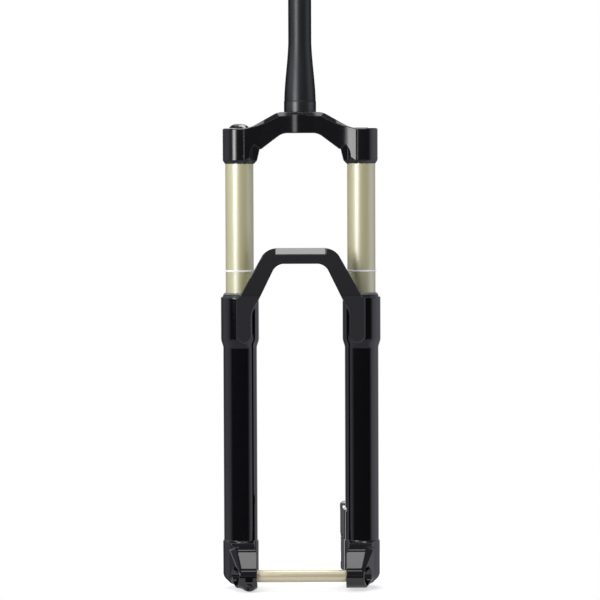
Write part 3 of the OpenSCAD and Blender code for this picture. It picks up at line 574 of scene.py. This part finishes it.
# The travel rings: a thin white rubber ring on each stanchion that shows how much of the travel was used.
# The wiper pushes it up, and it stays where it was left.
ring_low, ring_high = node_box("travel_ring_left")
travel_ring_profile = ring_profile([
    (stanchion_r + 0.05, ring_low[2] + 0.5), (stanchion_r + 0.7, ring_low[2] + 0.4),
    (stanchion_r + 1.1, ring_low[2] + 0.9), (stanchion_r + 1.1, ring_high[2] + 0.3),
    (stanchion_r + 0.7, ring_high[2] + 0.8), (stanchion_r + 0.05, ring_high[2] + 0.7)], 0.4)
white_rubber, s, feed = new_finish("white_rubber")
oil_film = blotches(s, 0.006)
feed("Base Color", mixed(s, oil_film, (0.93, 0.93, 0.91), (0.97, 0.97, 0.95)))
feed("Roughness", 0.45 + 0.15 * oil_film)
feed("Normal", relief(s, blotches(s, 0.0008), 0.00002))
for side, centre_x in leg_axes.items():
    piece(f"travel_ring_{side}_visual", turned(travel_ring_profile, (centre_x, axis_y, 0.0)), white_rubber,
          f"travel_ring_{side}", [f"travel_ring_{side}"])


# The damper's top cap: an aluminium cap screwed into the right stanchion, with a flange that fills the clamp.
# Eight notches round the flange take the tool that tightens it.
cap_low, cap_high = node_box("damper_top_cap")
cap_r = (cap_high[0] - cap_low[0]) / 2
cap_bore_r = 4.05
cap_plug_r = stanchion_bore_r - 0.05


def notched(count, depth, width):
    """Radius of a rim, as a part of the whole, with count notches that fall by depth within width radians."""
    def rim(angle):
        """The whole less the depth, where the angle to the nearest notch's middle is under the width."""
        turn = np.abs((angle * count / (2 * np.pi) + 0.5) % 1.0 - 0.5) * 2 * np.pi / count
        return 1.0 - depth * np.clip((width - turn) / (0.35 * width), 0.0, 1.0)
    return rim


cap_outside = [
    (cap_bore_r, cap_low[2], 0), (cap_plug_r, cap_low[2], 0), (cap_plug_r, stanchion_top, 0),
    (cap_r, stanchion_top + 0.02, 0), (cap_r, cap_high[2] - 0.5, 1), (cap_r - 0.5, cap_high[2], 1),
    (13.6, cap_high[2], 0), (13.2, cap_high[2] - 0.6, 0), (12.7, cap_high[2] - 0.6, 0),
    (12.3, cap_high[2], 0)]
damper_cap_profile = ring_profile(cap_outside + [
    (5.0, cap_high[2], 0), (cap_bore_r, cap_high[2] - 1.0, 0)], 0.25)


def grained_finish(name, low, high, roughness, spread, grain, depth, **constants):
    """A finish whose colour runs from low to high, and its roughness up by spread, over a grain of one size.

    The size of the grain and the depth of its relief are in metres.
    """
    material, start, link = new_finish(name, **constants)
    patches = blotches(start, grain)
    link("Base Color", mixed(start, patches, low, high))
    link("Roughness", roughness + spread * patches)
    link("Normal", relief(start, patches, depth))
    return material


cap_black = grained_finish("turned_black_anodise", (0.010, 0.010, 0.011), (0.018, 0.018, 0.020), 0.22, 0.12,
                           0.0007, 0.000006, ior=1.7, specular_ior_level=0.7)
cap_rim = notched(8, depth=0.10, width=0.10)
piece("damper_top_cap_visual",
      turned(damper_cap_profile, (-axis_x, axis_y, 0.0), flutes=cap_rim, segments=192),
      cap_black, "upper", ["damper_top_cap"])


# The compression dial: a domed aluminium knob on a stem that reaches down into the damper, anodised black.
# Finger notches run round its rim, a bright flat is milled across its dome as a pointer, and a small screw
# sits in the middle of its top.
dial_low, dial_high = node_box("compression_dial")
dial_r = (dial_high[1] - dial_low[1]) / 2
dial_foot, dial_top = -19.7, dial_high[2]
dial_stem_r, dial_stem_end = 3.97, dial_low[2] + 0.1
screw_hole_end = dial_top - 3.2
dial_profile = rounded([
    (0.0, dial_stem_end, 0), (dial_stem_r, dial_stem_end, 0), (dial_stem_r, dial_foot, 0),
    (dial_r - 0.3, dial_foot, 1), (dial_r, dial_foot + 0.4, 1), (dial_r, dial_foot + 1.0, 1),
    (dial_r - 0.9, dial_foot + 2.0, 1), (dial_r - 2.8, dial_foot + 3.5, 0.7),
    (dial_r - 5.4, dial_top - 0.65, 0.2), (5.0, dial_top - 0.1, 0), (4.2, dial_top, 0), (3.4, dial_top, 0),
    (3.0, dial_top - 0.5, 0), (2.2, dial_top - 0.5, 0), (2.05, screw_hole_end, 0),
    (0.0, screw_hole_end, 0)], 0.7)
dial_points, dial_faces = turned(dial_profile, (-axis_x, axis_y, 0.0), segments=240,
                                 flutes=notched(10, depth=0.075, width=0.17))
flat_way = np.array([0.35, -0.55, 0.758])
flat_depth = 0.85
flat_height = (dial_points @ flat_way).max() - flat_depth
dial_points -= np.maximum(dial_points @ flat_way - flat_height, 0.0)[:, None] * flat_way
dial_black, s, feed = new_finish("dial_black_anodise", ior=1.36)
dial_grain = blotches(s, 0.0020)
dial_place = s.node("ShaderNodeTexCoord", out="Object")
along_flat_way = s.node("ShaderNodeVectorMath", {0: dial_place, 1: tuple(flat_way)}, out="Value",
                        operation="DOT_PRODUCT")
above_flat = along_flat_way - float(flat_height) * MM
flat = above_flat.between(-0.00012, -0.00004)
feed("Base Color", mixed(s, flat, (0.0055, 0.0057, 0.0057), (0.16, 0.16, 0.16)))
feed("Metallic", flat)
feed("Roughness", 0.16 + 0.08 * dial_grain)
feed("Normal", relief(s, dial_grain, 0.000003))
piece("compression_dial_visual", (dial_points, dial_faces), dial_black, "compression_dial",
      ["compression_dial"])


def hexagon(angle):
    """Radius of a regular hexagon at an angle, as a part of its corner's radius."""
    return math.cos(math.pi / 6) / np.cos(angle % (math.pi / 3) - math.pi / 6)


def socket_bolt(head_r, head_back, head_front, shank_r, shank_back, socket_r, socket_depth):
    """Profile of a bolt with a hexagon socket in its head: rows marked 1 follow the hexagon."""
    way = 1.0 if head_front > head_back else -1.0
    socket_floor = head_front - way * socket_depth
    return rounded([
        (0.0, shank_back, 0), (shank_r * 0.8, shank_back, 0), (shank_r, shank_back + way * 0.6, 0),
        (shank_r, head_back, 0), (head_r, head_back, 0), (head_r, head_front - way * 0.5, 0),
        (head_r - 0.5, head_front, 0), (socket_r + 0.35, head_front, 1),
        (socket_r, head_front - way * 0.35, 1), (socket_r, socket_floor, 1),
        (socket_r * 0.3, socket_floor - way * 0.3, 0), (0.0, socket_floor - way * 0.35, 0)], 0.25, 4)


black_steel = grained_finish("blackened_steel", (0.030, 0.030, 0.033), (0.055, 0.055, 0.060), 0.16, 0.12,
                             0.0009, 0.000008, metallic=0.85)
screw_low, screw_high = node_box("dial_screw")
screw_profile = socket_bolt(head_r=2.0, head_back=screw_high[2] - 1.4, head_front=screw_high[2], shank_r=1.5,
                            shank_back=screw_low[2], socket_r=1.1, socket_depth=1.0)
piece("dial_screw_visual", turned(screw_profile, (-axis_x, axis_y, 0.0), flutes=hexagon, segments=96),
      black_steel, "compression_dial", ["dial_screw"])


# The air spring's top cap and its valve cover: the flanged cap is screwed into the left stanchion, and the
# cover over the air valve stands a little proud of the clamp, with ribs for the fingers.
air_cap_low, air_cap_high = node_box("air_cap")
air_cover_r = (air_cap_high[0] - air_cap_low[0]) / 2
valve_room_r = 4.3
air_cap_profile = ring_profile(cap_outside + [
    (air_cover_r + 0.5, cap_high[2], 0), (air_cover_r + 0.3, cap_high[2] - 0.4, 0),
    (air_cover_r + 0.3, air_cap_low[2] - 0.3, 0), (cap_bore_r, air_cap_low[2] - 0.3, 0)], 0.25)
piece("air_top_cap_visual", turned(air_cap_profile, (axis_x, axis_y, 0.0), flutes=cap_rim, segments=192),
      cap_black, "upper", ["air_top_cap"])
air_cover_profile = rounded([
    (0.0, air_cap_high[2] - 1.5, 0), (valve_room_r, air_cap_high[2] - 1.5, 0),
    (valve_room_r, air_cap_low[2], 0),
    (air_cover_r - 0.4, air_cap_low[2], 1), (air_cover_r, air_cap_low[2] + 0.4, 1),
    (air_cover_r, air_cap_high[2] - 1.1, 1), (air_cover_r - 1.1, air_cap_high[2] - 0.25, 0.3),
    (air_cover_r - 2.6, air_cap_high[2], 0), (3.6, air_cap_high[2], 0), (3.0, air_cap_high[2] - 0.4, 0),
    (0.0, air_cap_high[2] - 0.4, 0)], 0.4)
cover_ribs = notched(24, depth=0.035, width=0.05)
piece("air_cap_visual", turned(air_cover_profile, (axis_x, axis_y, 0.0), flutes=cover_ribs, segments=288),
      crown_black, "air_cap", ["air_cap"])


# The lower casting: both legs, the arch before the stanchions, the dropouts and the brake mount, cast in one
# piece of magnesium, bored for the seals and bushings, and painted glossy black. The axle passes through the
# dropouts, and the right one is slit so that a bolt can pinch it.
casting_low, casting_high = node_box("lower_casting")
wiper_low, wiper_high = node_box("dust_wiper_left")
axle_low, axle_high = node_box("axle")
axle_y, axle_z = (axle_low[1:] + axle_high[1:]) / 2
axle_r = (axle_high[1] - axle_low[1]) / 2
lug_end = axle_high[0]
leg_top = wiper_high[2] - 5.0
pocket_bottom = node_box("foam_ring_left")[0][2] - 0.5
pocket_r = wiper_high[0] - axis_x + 0.03
leg_bore_r = 19.03
leg_r = 21.03
foot_r = 22.33
collar_r = casting_high[0] - axis_x
collar_bottom = leg_top - 54.0
leg_floor = node_box("bottom_out_bumpers")[0][2]
floor_under = node_box("crush_washers")[1][2]
shaft_low, shaft_high = node_box("damper_shaft")
shaft_hole_r = (shaft_high[1] - shaft_low[1]) / 2 + 0.03
bolt_hole_r = 3.53
foot_recess_r = 9.5
foot_top = axle_z + 40.0
foot_bottom = axle_z - 15.0
foot_chamfer = 10.6


def leg_solid(from_axis, z):
    """Distance to a leg: a tube with a conical foot, whose radius steps to the leg and swells to a collar."""
    heights = [foot_top, foot_top + 1.3, collar_bottom - 9.0, collar_bottom - 7.0, collar_bottom - 1.0,
               collar_bottom + 1.5]
    radius = np.interp(z, heights, [foot_r, leg_r, leg_r, leg_r + 0.4, collar_r - 0.35, collar_r])
    cone = (from_axis - foot_r + foot_chamfer - (z - foot_bottom)) / math.sqrt(2.0)
    tube = round_cut(round_cut(from_axis - radius, z - leg_top, 1.2), cone, 3.0)
    return round_cut(tube, foot_bottom - z, 3.0)


arch_top = casting_high[2]
arch_under = arch_top - 19.0
arch_back = -36.0
arch_front = -58.0
arch_half_w = 78.0
arch_outer_line, arch_outer_r = ((42.1, arch_top), (76.5, leg_top)), 9.85
arch_inner_line, arch_inner_r = ((29.9, arch_under), (50.6, leg_top)), 8.06
arch_foot_line = (61.4, -247.0), (50.6, leg_top)
arch_crease = -226.0
arch_lean, arch_slope = 0.056, 0.42
band_x, band_z, band_r = 69.7, -275.6, 8.6
facet_up, facet_ahead = 13.8, 7.3
facet_back, facet_half_w = arch_front + 16.9, 31.0


def arch_solid(u, y, z):
    """Distance to the arch: a bar and two sloped arms in front view, whose fronts slope back to the collars.

    A narrow band runs on below each arm, and a flat facet is cut along the upper front edge of the bar.
    """
    outside = round_cut(z - arch_top, line_distance(u, z, *arch_outer_line), arch_outer_r)
    opening = round_cut(z - arch_under, line_distance(u, z, *arch_inner_line), arch_inner_r)
    foot = np.minimum(line_distance(u, z, *arch_foot_line), leg_top - z)
    over_crease = z - arch_crease
    front = arch_front + np.maximum(arch_lean * over_crease, -arch_slope * over_crease) - y
    back = round_join(y - arch_back, round_cut(z - leg_top, y - axis_y, 1.0), 4.0)
    arms = np.maximum(round_cut(outside, -opening, 1.0), np.maximum(foot, u - arch_half_w))
    band = np.maximum(np.hypot(u - band_x, np.minimum(z - band_z, 0.0)) - band_r, z - leg_top)
    facet = (facet_up * (z - arch_top) + facet_ahead * (facet_back - y)) / math.hypot(facet_up, facet_ahead)
    bar = round_cut(round_cut(round_join(arms, band, 3.0), front, 0.5), back, 1.2)
    return round_cut(bar, np.minimum(facet, facet_half_w - u), 0.5)


insert_low, insert_high = node_box("axle_insert")
insert_r = (insert_high[1] - insert_low[1]) / 2
hub_face = insert_low[0] - 1.03
lug_nose_r = 14.8
lug_slope = math.radians(44.0)
lug_top = foot_top - 0.4
lug_chamfer = 17.8
leg_front = axis_y - foot_r
ledge_y = leg_front - 1.2
ledge_z = axle_z + (lug_nose_r + math.sin(lug_slope) * (ledge_y - axle_y)) / math.cos(lug_slope)
draft_out, draft_back, draft_in = 0.928, 0.371, 2.6
bevel_out, bevel_ahead, bevel_up = 0.560, 0.655, 0.540
bevel_edge, bevel_rise = 80.4, 1.5


def lug_solid(u, y, z):
    """Distance to a dropout: a round nose about the axle under a sloped top and a ledge, with a drafted side.

    A bevel takes off the outer corner of the slope, and fades out above the ledge.
    """
    slope_c, slope_s = math.cos(lug_slope), math.sin(lug_slope)
    dy, dz = y - axle_y, z - axle_z
    top = slope_c * dz - slope_s * dy - lug_nose_r
    under = -dz - lug_nose_r
    ahead = (dy * slope_c + dz * slope_s < 0.0) & (dy < 0.0)
    ramp = np.where(ahead, np.hypot(dy, dz) - lug_nose_r, round_cut(top, under, 1.0))
    ledge = np.maximum(round_cut(ledge_y - y, z - lug_top, 1.4), under)
    side = round_join(np.maximum(ramp, z - lug_top), ledge, 4.2)
    inner = np.interp(y, [leg_front - 7.0, leg_front], [hub_face, hub_face + 3.5]) - u
    drafted = draft_out * (u - axis_x) - draft_back * (y - axis_y) - foot_r + draft_in
    outer = np.maximum(drafted, u - axis_x - draft_out * foot_r)
    chamfer = (u - axis_x - foot_r + lug_chamfer - (z - foot_bottom)) / math.sqrt(2.0)
    wall = round_cut(round_cut(round_cut(side, outer, 0.8), inner, 1.0), chamfer, 1.5)
    bevel = bevel_out * (u - bevel_edge) - bevel_ahead * (y - ledge_y) + bevel_up * (z - ledge_z)
    fade = 3.0 * np.maximum(z - ledge_z - bevel_rise, 0.0)
    return np.maximum(round_cut(wall, bevel - fade, 0.5), y - axis_y)


post_x, post_r, post_hole_r = 54.0, 6.2, 2.6
post_low = axle_z + 4.6
post_high = post_low + 74.2
post_middle = (post_low + post_high) / 2
post_back = casting_high[1]
flank_low, flank_high = 49.6, 48.7
web_front, web_back = 2.0, post_back - 9.0
web_edge, web_slant, web_slant_c = 53.75, 0.228, 0.975
bar_x, bar_half_w, bar_half_h = 51.2, 2.2, 1.1
bar_low, bar_high = post_low + 34.9, post_low + 39.1
bar_y, bar_half_d = web_back - 4.0, 3.6
rim_x, rim_half_w = 49.5, 0.8
rim_z, rim_half_h = post_middle + 20.4, 17.1
rim_half_d = 1.1


def brake_mount_solid(x, y, z):
    """Distances to the brake mount and to its bolt holes: two bosses on a web whose inner face slants.

    A rim runs along the upper part of the web, and two small bars cross its middle. The lower hole is blind.
    """
    from_post = np.minimum(np.hypot(x - post_x, z - post_low), np.hypot(x - post_x, z - post_high))
    flank = np.where(z < post_middle, flank_low, flank_high) - x
    boss_ends = np.maximum(web_back - 0.5 - y, y - post_back)
    bosses = round_cut(np.maximum(from_post - post_r, flank), boss_ends, 0.4)
    across = np.hypot(np.minimum(x - post_x, 0.0), z - np.clip(z, post_low, post_high)) - post_r
    slant = web_slant_c * (web_edge - web_slant * (y - web_front) - x)
    web = round_cut(np.maximum(across, slant), np.maximum(y - web_back, web_front - y), 0.5)
    web = np.maximum(web, x - axis_x)
    bar_ends = np.maximum(np.abs(x - bar_x) - bar_half_w, np.abs(y - bar_y) - bar_half_d)
    bars = np.maximum(np.minimum(np.abs(z - bar_low), np.abs(z - bar_high)) - bar_half_h, bar_ends)
    rim_sides = np.maximum(np.abs(x - rim_x) - rim_half_w, np.abs(z - rim_z) - rim_half_h)
    rim = round_cut(rim_sides, np.abs(y - web_back + rim_half_d) - rim_half_d, 0.2)
    through = from_post - post_hole_r
    holes = np.where(z < post_middle, np.maximum(through, web_back - 2.0 - y), through)
    return np.minimum(np.minimum(round_join(bosses, web, 1.5), rim), bars), holes


pinch_low, pinch_high = node_box("pinch_bolt")
pinch_x, pinch_z = (pinch_low[0] + pinch_high[0]) / 2, (pinch_low[2] + pinch_high[2]) / 2
pinch_hole_r, pinch_hole_half_l = 2.6, 20.0
lobe_r, lobe_half_l = 5.6, 12.0
lobe_bottom = casting_low[2] + 0.6
slit_half_w, slit_start = 0.75, 50.0
lug_recess_r = 11.5
axle_hole_r = axle_r + 0.2


def casting_solid(x, y, z):
    """Distance to the casting: legs, arch, dropouts, brake mount and pinch lobe joined, less its hollows."""
    u = np.abs(x)
    from_axis = np.hypot(u - axis_x, y - axis_y)
    from_axle = np.hypot(y - axle_y, z - axle_z)
    from_pinch = np.hypot(x - pinch_x, z - pinch_z)
    along_bolt = np.abs(y - axle_y)
    mount, post_holes = brake_mount_solid(x, y, z)
    lug = lug_solid(u, y, z)
    lobe = round_cut(from_pinch - lobe_r, along_bolt - lobe_half_l, 1.0)
    pinched = round_cut(round_join(lug, lobe, 8.0), lobe_bottom - z, 1.0)
    legs = round_join(leg_solid(from_axis, z), np.where(x < 0.0, pinched, lug), 1.0)
    solid = round_join(legs, arch_solid(u, y, z), 1.5)
    solid = np.where(x > 0.0, round_join(solid, mount, 2.0), solid)
    hollow = np.maximum(from_axis - leg_bore_r, leg_floor - z)
    seal_pocket = np.maximum(from_axis - pocket_r, pocket_bottom - z)
    foot_recess = np.maximum(from_axis - foot_recess_r, z - floor_under)
    foot_hole = np.maximum(from_axis - np.where(x < 0.0, shaft_hole_r, bolt_hole_r), z - leg_floor - 2.0)
    lug_recess = np.maximum(from_axle - lug_recess_r, lug_end - u)
    axle_hole = from_axle - np.where(x > 0.0, insert_r, axle_hole_r)
    slit = np.maximum(np.maximum(along_bolt - slit_half_w, slit_start - u), np.maximum(z - axle_z, x))
    pinch_hole = np.maximum(from_pinch - pinch_hole_r, along_bolt - pinch_hole_half_l)
    bolt_holes = np.where(x > 0.0, post_holes, pinch_hole)
    for opening in (seal_pocket, foot_recess, foot_hole, lug_recess, axle_hole, slit, bolt_holes):
        hollow = np.minimum(hollow, opening)
    return round_cut(solid, -hollow, 0.5)


casting_paint, s, feed = new_finish("glossy_black_paint", coat_weight=0.25, coat_roughness=0.05, ior=1.5)
orange_peel = blotches(s, 0.0016, detail=1.0)
casting_skin = blotches(s, 0.012)
feed("Base Color", mixed(s, casting_skin, (0.0016, 0.0016, 0.0019), (0.0030, 0.0030, 0.0034)))
feed("Roughness", 0.04 + 0.05 * blotches(s, 0.006))
feed("Normal", relief(s, orange_peel, 0.000004))
# The layers of the grid lie close at the dropouts and the arch, and far apart along the plain legs.
fine, middling, coarse = 1.2, 2.0, 9.2
casting_heights = np.concatenate([
    np.arange(-592.4, -524.0, fine), np.arange(-524.0, -478.0, middling), np.arange(-478.0, -294.0, coarse),
    np.arange(-294.0, -278.0, fine), np.arange(-278.0, -234.0, middling), np.arange(-234.0, -165.0, fine)])
casting_surface, casting_normals = carved_surface(
    casting_solid, np.arange(-101.0, 101.1, 1.25), np.arange(-68.0, 34.6, 1.25), casting_heights)
piece("lower_casting_visual", casting_surface, casting_paint, "lowers", ["lower_casting"],
      casting_normals)


# The dust wipers: a seal of moulded black rubber, pressed into the top of each leg. A groove runs round it
# under its lip, which sweeps the stanchion. The lip is painted pale grey as a painted highlight.
wiper_r = pocket_r - 0.03
wiper_bore_r = stanchion_r + 0.06
wiper_profile = ring_profile([
    (wiper_bore_r, wiper_low[2]), (wiper_r, wiper_low[2]), (wiper_r, leg_top - 0.4),
    (wiper_r - 0.2, leg_top + 0.4), (wiper_r - 0.5, leg_top + 1.5), (wiper_r - 0.9, leg_top + 2.2),
    (wiper_r - 1.3, leg_top + 2.4), (wiper_r - 1.3, leg_top + 2.6), (wiper_r - 0.7, leg_top + 2.8),
    (wiper_r - 2.7, leg_top + 4.8), (wiper_r - 3.0, wiper_high[2]), (wiper_bore_r, wiper_high[2])], 0.25)
seal_rubber, s, feed = new_finish("seal_rubber", specular_ior_level=0.5)
bloom = blotches(s, 0.008)
wiper_height = s.node("ShaderNodeSeparateXYZ", {0: s.node("ShaderNodeTexCoord", out="Object")}, out="Z")
# Painted highlight: the band of the lip above the groove is coloured pale grey, as light falls on it.
painted_lip_highlight = wiper_height.between((leg_top + 2.5) * MM, (leg_top + 2.9) * MM)
feed("Base Color", mixed(s, painted_lip_highlight * (0.8 + 0.2 * bloom), (0.013, 0.013, 0.014), (0.200, 0.200, 0.202)))
feed("Roughness", 0.28 + 0.16 * bloom)
feed("Normal", relief(s, blotches(s, 0.0007), 0.00002))
for side, centre_x in leg_axes.items():
    piece(f"dust_wiper_{side}_visual", turned(wiper_profile, (centre_x, axis_y, 0.0)), seal_rubber, "lowers",
          [f"dust_wiper_{side}"])


# The axle: a turned 15 mm aluminium shaft, hard anodised pale gold like the stanchions. One end is threaded
# into the insert of the left dropout, and the other has a socket for a hexagon key. A groove marks each hub
# face.
key_w, key_depth = 6.0, 12.0
key_r = key_w / 2 / math.cos(math.pi / 6)
key_end, key_floor = axle_low[0] + key_depth, axle_low[0] + key_depth + 0.3
groove_r = axle_r - 0.3
hub_edge = hub_face - 1.0
thread_r, thread_depth, half_pitch = 6.95, 0.45, 0.75
thread_step = np.arange(hub_face + 1.5, axle_high[0] - 1.8, half_pitch)
thread_dip = thread_depth * (np.arange(len(thread_step)) % 2)
axle_body = rounded([
    (0.0, key_floor, 0), (key_r * 0.3, key_floor, 0), (key_r, key_end, 1), (key_r, axle_low[0] + 0.5, 1),
    (key_r + 0.5, axle_low[0], 1), (axle_r - 0.7, axle_low[0], 0), (axle_r, axle_low[0] + 0.7, 0),
    (axle_r, -hub_face - 0.2, 0), (groove_r, -hub_face, 0), (groove_r, -hub_edge, 0),
    (axle_r, 0.2 - hub_edge, 0), (axle_r, hub_edge - 0.2, 0), (groove_r, hub_edge, 0),
    (groove_r, hub_face, 0), (thread_r, hub_face, 0), (thread_r, hub_face + 0.9, 0)], 0.25, 4)
axle_thread = np.stack([thread_r - thread_dip, thread_step, 0 * thread_step], axis=-1)
axle_end = [(thread_r - 0.5, axle_high[0] - 1.0, 0), (thread_r - 1.4, axle_high[0], 0),
            (0.0, axle_high[0], 0)]
axle_profile = np.vstack([axle_body, axle_thread, axle_end])
axle_gold = grained_finish("gold_axle_coat", (0.69, 0.615, 0.425), (0.72, 0.645, 0.45), 0.33, 0.03,
                           0.05, 0.0000002, metallic=0.42, ior=1.7)
piece("axle_visual", turned(axle_profile, (0.0, axle_y, axle_z), axis="X", flutes=hexagon, segments=120),
      axle_gold, "axle", ["axle"])


# The threaded insert: a turned aluminium sleeve pressed into the left dropout, so that the axle's thread
# doesn't bear on the casting.
insert_bore_r = thread_r + 0.25
insert_profile = ring_profile([
    (insert_bore_r, insert_low[0]), (insert_r - 0.02, insert_low[0]), (insert_r - 0.02, insert_high[0] - 0.6),
    (insert_r - 0.6, insert_high[0]), (thread_r + 0.9, insert_high[0]),
    (insert_bore_r, insert_high[0] - 0.7)], 0.2)
bright_aluminium = grained_finish("turned_aluminium", (0.60, 0.61, 0.63), (0.70, 0.71, 0.73), 0.28, 0.14,
                                  0.0006, 0.000006, metallic=1.0)
piece("axle_insert_visual", turned(insert_profile, (0.0, axle_y, axle_z), axis="X"), bright_aluminium,
      "lowers", ["axle_insert"])


# The pinch bolt: a blackened steel cap screw with a hexagon socket. It is screwed from the front into the
# lobe under the right dropout, and closes the slit on the axle.
pinch_profile = socket_bolt(
    head_r=(pinch_high[0] - pinch_low[0]) / 2, head_back=axle_y - lobe_half_l, head_front=pinch_low[1],
    shank_r=2.5, shank_back=pinch_high[1], socket_r=2.31, socket_depth=3.0)
piece("pinch_bolt_visual",
      turned(pinch_profile, (pinch_x, 0.0, pinch_z), axis="Y", flutes=hexagon, segments=120),
      black_steel, "lowers", ["pinch_bolt"])


# The rebound dial: a small red anodised aluminium knob under the right leg, with finger grooves round its rim
# and a round recess in its face. A rod inside the damper's shaft turns with it.
knob_low, knob_high = node_box("rebound_dial")
knob_r = (knob_high[1] - knob_low[1]) / 2 + 0.07
knob_recess = knob_low[2] + 1.4
knob_profile = rounded([
    (0.0, knob_recess, 0), (1.5, knob_recess, 0), (1.7, knob_low[2] + 0.2, 0), (2.0, knob_low[2], 0),
    (knob_r - 1.4, knob_low[2], 0.6), (knob_r, knob_low[2] + 0.9, 1), (knob_r, knob_high[2] - 0.8, 1),
    (knob_r - 0.8, knob_high[2], 1), (0.0, knob_high[2], 0)], 0.5)
red_anodise = grained_finish("red_anodise", (0.34, 0.022, 0.018), (0.44, 0.035, 0.028), 0.26, 0.12,
                             0.0007, 0.000006, metallic=0.9)
knob_grooves = notched(12, depth=0.086, width=0.164)
piece("rebound_dial_visual", turned(knob_profile, (-axis_x, axis_y, 0.0), flutes=knob_grooves, segments=240),
      red_anodise, "rebound_dial", ["rebound_dial"])


# The pieces inside the legs: damper and air spring with their seals, bushings and fasteners. Each keeps its
# CAD shape, because it only shows through a bore, and gets the finish of its own material.
inner_rubber = grained_finish("moulded_rubber", (0.011, 0.011, 0.012), (0.018, 0.018, 0.019), 0.40, 0.15,
                              0.006, 0.000010)
foam = grained_finish("oiled_foam", (0.10, 0.10, 0.095), (0.22, 0.22, 0.21), 0.75, 0.15, 0.0008, 0.0001)
bushing_liner = grained_finish("bushing_liner", (0.26, 0.24, 0.20), (0.34, 0.32, 0.27), 0.45, 0.15,
                               0.002, 0.00001)
plated_steel = grained_finish("plated_steel", (0.32, 0.32, 0.34), (0.42, 0.42, 0.44), 0.25, 0.15,
                              0.001, 0.000006, metallic=1.0)
brass = grained_finish("turned_brass", (0.62, 0.45, 0.18), (0.72, 0.55, 0.25), 0.25, 0.15, 0.001, 0.000006,
                       metallic=1.0)
copper = grained_finish("annealed_copper", (0.55, 0.28, 0.16), (0.66, 0.36, 0.22), 0.35, 0.15,
                        0.002, 0.000008, metallic=1.0)
blue_plastic = grained_finish("blue_plastic", (0.05, 0.09, 0.19), (0.08, 0.13, 0.24), 0.40, 0.15,
                              0.003, 0.000010)
inner_nodes = {
    bright_aluminium: ["damper_tube", "compression_valve", "damper_seal_head", "air_seal_head",
                       "rebound_piston", "air_piston", "damper_shaft", "air_shaft", "compression_needle",
                       "rebound_rod", "damper_foot_nut"],
    inner_rubber: ["damper_bladder", "air_piston_seal", "top_out_bumper", "bottom_out_bumpers"],
    foam: ["foam_ring_right", "foam_ring_left"], bushing_liner: ["upper_bushings", "lower_bushings"],
    plated_steel: ["seal_head_circlips", "air_foot_bolt"], brass: ["air_valve"], copper: ["crush_washers"],
    blue_plastic: ["volume_spacers"]}
for material, names in inner_nodes.items():
    for name in names:
        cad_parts[name].data.materials.clear()
        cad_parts[name].data.materials.append(material)
